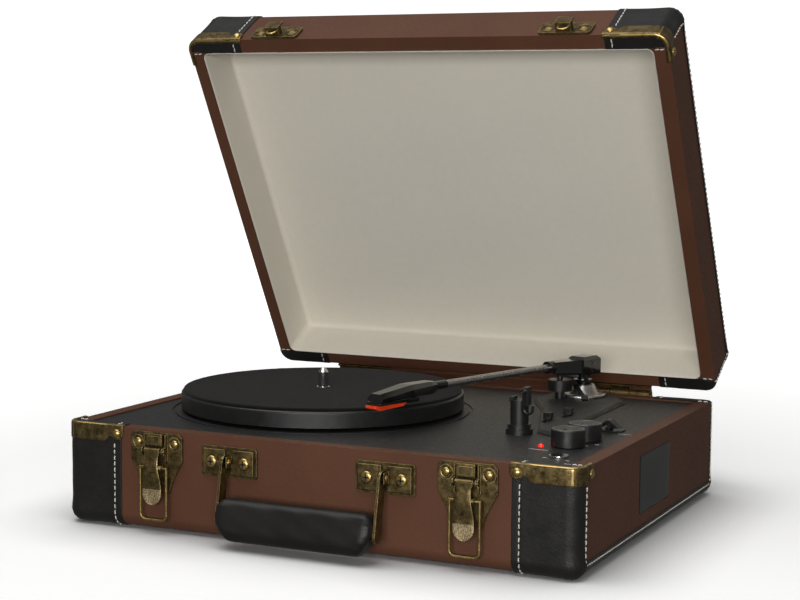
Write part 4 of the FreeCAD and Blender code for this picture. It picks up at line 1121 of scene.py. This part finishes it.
def slip_mat():
    """A felt disc with a faint nap, rounded at its rim and at the spindle hole."""
    low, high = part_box("slip_mat")
    centre = Vector(((low.x + high.x) / 2, (low.y + high.y) / 2, low.z))
    radius = (high.x - low.x) / 2 / MM
    thick = (high.z - low.z) / MM
    hole = 4.8
    rows = []
    for r in [hole, hole + 0.3] + spaced(8, radius - 1.2, 40) + [radius - 0.5, radius - 0.1, radius]:
        drop = 0.55 * max(0.0, (r - radius + 1.0)) ** 2 + 0.3 * max(0.0, hole + 0.3 - r)
        rows.append((r, thick - 0.05 - drop))
    rows += [(radius, 0.05), (hole, 0.05)]
    built = []
    for r, z in rows:
        line = []
        for a in circle(120):
            nap = 0.05 * math.sin(5 * a + r * 0.21) * math.sin(r * 0.37 + 2 * a)
            line.append(centre + Vector((r * math.cos(a), r * math.sin(a), z + min(nap, 0.03))) * MM)
        built.append(line)
    made = grid("slip_mat_felt", built, "felt_black", "platter", round_u=True, round_v=True)
    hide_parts("slip_mat")


# ---- small marks and trims
def deck_marks():
    """Plain white printed bars beside the controls."""
    bars = [(122.2, -86.5, 12.4, 0.55, -2), (148.8, -62.2, 2.6, 0.7, 20), (153.6, -56.0, 2.6, 0.7, 20),
            (154.0, -13.2, 10.0, 0.6, 0), (133.2, -124.4, 3.2, 0.7, 20), (139.6, -109.4, 2.6, 0.7, 10),
            (155.0, -112.0, 2.8, 0.8, -35), (157.4, -121.6, 4.2, 0.7, -8), (163.0, -121.0, 3.4, 0.6, 5)]
    parts = []
    for x, y, length, width, angle in bars:
        turn = math.radians(angle)
        along = Vector((math.cos(turn), math.sin(turn), 0))
        across = Vector((-along.y, along.x, 0))
        start = at(x, y, DECK_Z)
        points = []
        for z in (0.0, 0.06):
            for u, v in ((0, 0), (length, 0), (length, width), (0, width)):
                points.append(start + (along * u + across * v + Vector((0, 0, z))) * MM)
        parts.append(piece("bar", points, prism(4), "print_white", "base", False))
    join("deck_marks", parts)


def knob_trim(node):
    """A thin grey ring round the knob's top."""
    low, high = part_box(node)
    centre = Vector(((low.x + high.x) / 2, (low.y + high.y) / 2, high.z))
    radius = 10.5
    profile = [(radius - 1.5, -0.05), (radius - 1.4, 0.12), (radius - 1.05, 0.16),
               (radius - 0.8, 0.08), (radius - 0.75, -0.1)]
    rows = [[centre + Vector((r * math.cos(a), r * math.sin(a), z)) * MM
             for a in circle(64)] for r, z in profile]
    grid(node + "_ring", rows, "rim_grey", node, round_u=True, round_v=True)


# ---- finishes on the CAD pieces
BEVELS = {                       # rounding of each CAD piece's edges
    "base_case": 0.9, "lid_case": 0.9, "handle_frame": 0.35, "lid_catches": 0.4,
    "hinge_base_leaves": 0.25, "hinge_lid_leaves": 0.25,
    "platter": 0.4, "tonearm_board": 0.5, "arm_rest_post": 0.35, "arm_rest_clip": 0.3,
    "cue_lift_housing": 0.4, "tonearm_base": 0.3, "tonearm_block": 0.5, "headshell": 0.45,
    "cartridge": 0.3, "stylus": 0.15, "cue_lever": 0.3, "cue_lift_platform": 0.3,
    "volume_knob": 0.25, "tone_knob": 0.25, "speed_switch": 0.3, "auto_stop_switch": 0.3,
    "rocker_bracket": 0.15, "rocker_paddle": 0.3, "headphone_jack": 0.25, "spindle": 0.3,
    "rear_jack_plate": 0.4, "rear_sockets": 0.2, "rubber_feet": 0.6, "motor_board": 0.4,
}
# CAD pieces whose look is not simply that of their material slot
LOOKS = {"latch_loop_left": "loop_brass", "latch_loop_right": "loop_brass",
         "headshell": "gloss_black", "cartridge": "gloss_black",
         "tonearm_tube": "satin_aluminium"}


def dress_cad():
    """Give every CAD piece its finish, and rounded edges where BEVELS has it."""
    for name, node in NODES.items():
        look = finish(LOOKS.get(name, SLOTS[name]))
        for held in node.material_slots:
            held.material = look
        if not node.material_slots:
            node.data.materials.append(look)
        if name in BEVELS:
            bevel(node, BEVELS[name], 2, 30, weld=True)


# ---- stage, light and camera
CAMERA_AT = (498.3, -1073.8, 260.0)
CAMERA_AZIMUTH = 25.09
CAMERA_ELEVATION = 5.76
CAMERA_ROLL = 0.46
CAMERA_LENS = 79.92


def add_camera():
    data = bpy.data.cameras.new("camera")
    data.lens = CAMERA_LENS
    data.sensor_width = 36.0
    data.clip_start = 0.05
    data.clip_end = 60.0
    camera = bpy.data.objects.new("camera", data)
    bpy.context.scene.collection.objects.link(camera)
    az, el, roll = (math.radians(v) for v in (CAMERA_AZIMUTH, CAMERA_ELEVATION, CAMERA_ROLL))
    forward = Vector((-math.sin(az) * math.cos(el), math.cos(az) * math.cos(el), -math.sin(el)))
    level = Vector((math.cos(az), math.sin(az), 0))
    over = level.cross(forward)
    right = level * math.cos(roll) + over * math.sin(roll)
    up = over * math.cos(roll) - level * math.sin(roll)
    turn = Matrix((right, up, -forward)).transposed().to_4x4()
    camera.matrix_world = Matrix.Translation(at(*CAMERA_AT)) @ turn
    bpy.context.scene.camera = camera


def area_light(name, place, target, width, height, power, colour=(1, 1, 1)):
    data = bpy.data.lights.new(name, "AREA")
    data.shape = "RECTANGLE"
    data.size, data.size_y = width, height
    data.energy = power
    data.color = colour
    light = bpy.data.objects.new(name, data)
    bpy.context.scene.collection.objects.link(light)
    light.location = place
    light.rotation_euler = (Vector(target) - Vector(place)).to_track_quat("-Z", "Y").to_euler()


def floor_white():
    """White paper that glows white out to where the backdrop takes over; its glow dims towards the middle, and
    ambient occlusion paints a contact shadow round the case.
    """
    f = Finish("floor_white", Roughness=0.9, Specular_IOR_Level=0.1)
    f.shader.inputs["Emission Color"].default_value = (1, 1, 1, 1)
    painted_contact_shadow = f.node("AmbientOcclusion", samples=8, Distance=70 * MM)
    shade = f.ramp(painted_contact_shadow.outputs["AO"], (0.45, 0.0), (1.0, 1.0))
    f.colour(f.blend(shade, (0.6, 0.6, 0.6, 1), (0.85, 0.85, 0.85, 1)))
    length = f.node("VectorMath", operation="LENGTH")
    f.link(f.place, length.inputs[0])
    glow = f.ramp(f.maths("MULTIPLY", length.outputs["Value"], 1 / 2.4), (0.14, 0.32), (0.6, 1.0))
    # The glow is cut by the same painted contact shadow.
    f.link(f.maths("MULTIPLY", glow, shade), f.shader.inputs["Emission Strength"])
    return f.material


def backdrop_white():
    f = Finish("backdrop_white", Emission_Strength=1.1)
    f.shader.inputs["Base Color"].default_value = (0, 0, 0, 1)
    f.shader.inputs["Emission Color"].default_value = (1, 1, 1, 1)
    return f.material


def stage_piece(name, points, faces, material):
    mesh = bpy.data.meshes.new(name)
    mesh.from_pydata(points, [], faces)
    made = bpy.data.objects.new(name, mesh)
    mesh.materials.append(material)
    bpy.context.scene.collection.objects.link(made)
    return made


def add_stage():
    """A round white floor under a white dome that only the camera sees."""
    steps, bands = 96, 24
    ring = [(6.0 * math.cos(a), 6.0 * math.sin(a), 0.0) for a in circle(steps)]
    floor = stage_piece("floor", ring, [tuple(range(steps))], floor_white())
    dome = []
    for e in spaced(-2, 90, bands):
        level = 6.5 * math.cos(math.radians(e))
        dome += [(level * math.cos(a), level * math.sin(a), 6.5 * math.sin(math.radians(e)))
                 for a in circle(steps)]
    faces = [(i * steps + k, i * steps + (k + 1) % steps, (i + 1) * steps + (k + 1) % steps,
              (i + 1) * steps + k) for i in range(bands - 1) for k in range(steps)]
    backdrop = stage_piece("backdrop", dome, faces, backdrop_white())
    backdrop.visible_diffuse = False
    backdrop.visible_glossy = False
    backdrop.visible_transmission = False
    backdrop.visible_shadow = False
    floor.visible_diffuse = False
    floor.visible_glossy = False


def add_light():
    world = bpy.data.worlds.new("studio")
    bpy.context.scene.world = world
    world.use_nodes = True
    back = world.node_tree.nodes["Background"]
    back.inputs["Color"].default_value = (1.0, 0.99, 0.97, 1)
    back.inputs["Strength"].default_value = 0.14
    area_light("key_over", (-0.3, -0.5, 2.2), (0, 0, 0.1), 2.4, 1.8, 33)
    area_light("key_front", (0.6, -2.0, 0.36), (0, 0, 0.12), 1.6, 0.6, 26, (1, 0.99, 0.97))
    area_light("fill_right", (2.4, -1.2, 1.2), (0, 0, 0.1), 1.4, 1.4, 2.5)
    area_light("back_rim", (0.3, 2.4, 1.6), (0, 0, 0.2), 2.0, 0.8, 3)
    view = bpy.context.scene.view_settings
    view.view_transform = "Standard"
    view.look = "None"
    view.exposure = 0.0
    view.gamma = 1.0


# ---- the whole object
def main():
    dress_cad()
    for build in (corner_leather, side_band, shell_stitches, corner_guards):
        for shell in (BASE, LID):
            build(shell)
    latch_plates()
    latch_lever(-1, "latch_lever_left")
    latch_lever(1, "latch_lever_right")
    lid_catch_rings()
    handle_brackets()
    handle_grip()
    lid_lining()
    hinge_cover()
    grille_panels()
    slip_mat()
    deck_marks()
    knob_trim("volume_knob")
    knob_trim("tone_knob")
    add_camera()
    add_stage()
    add_light()


main()
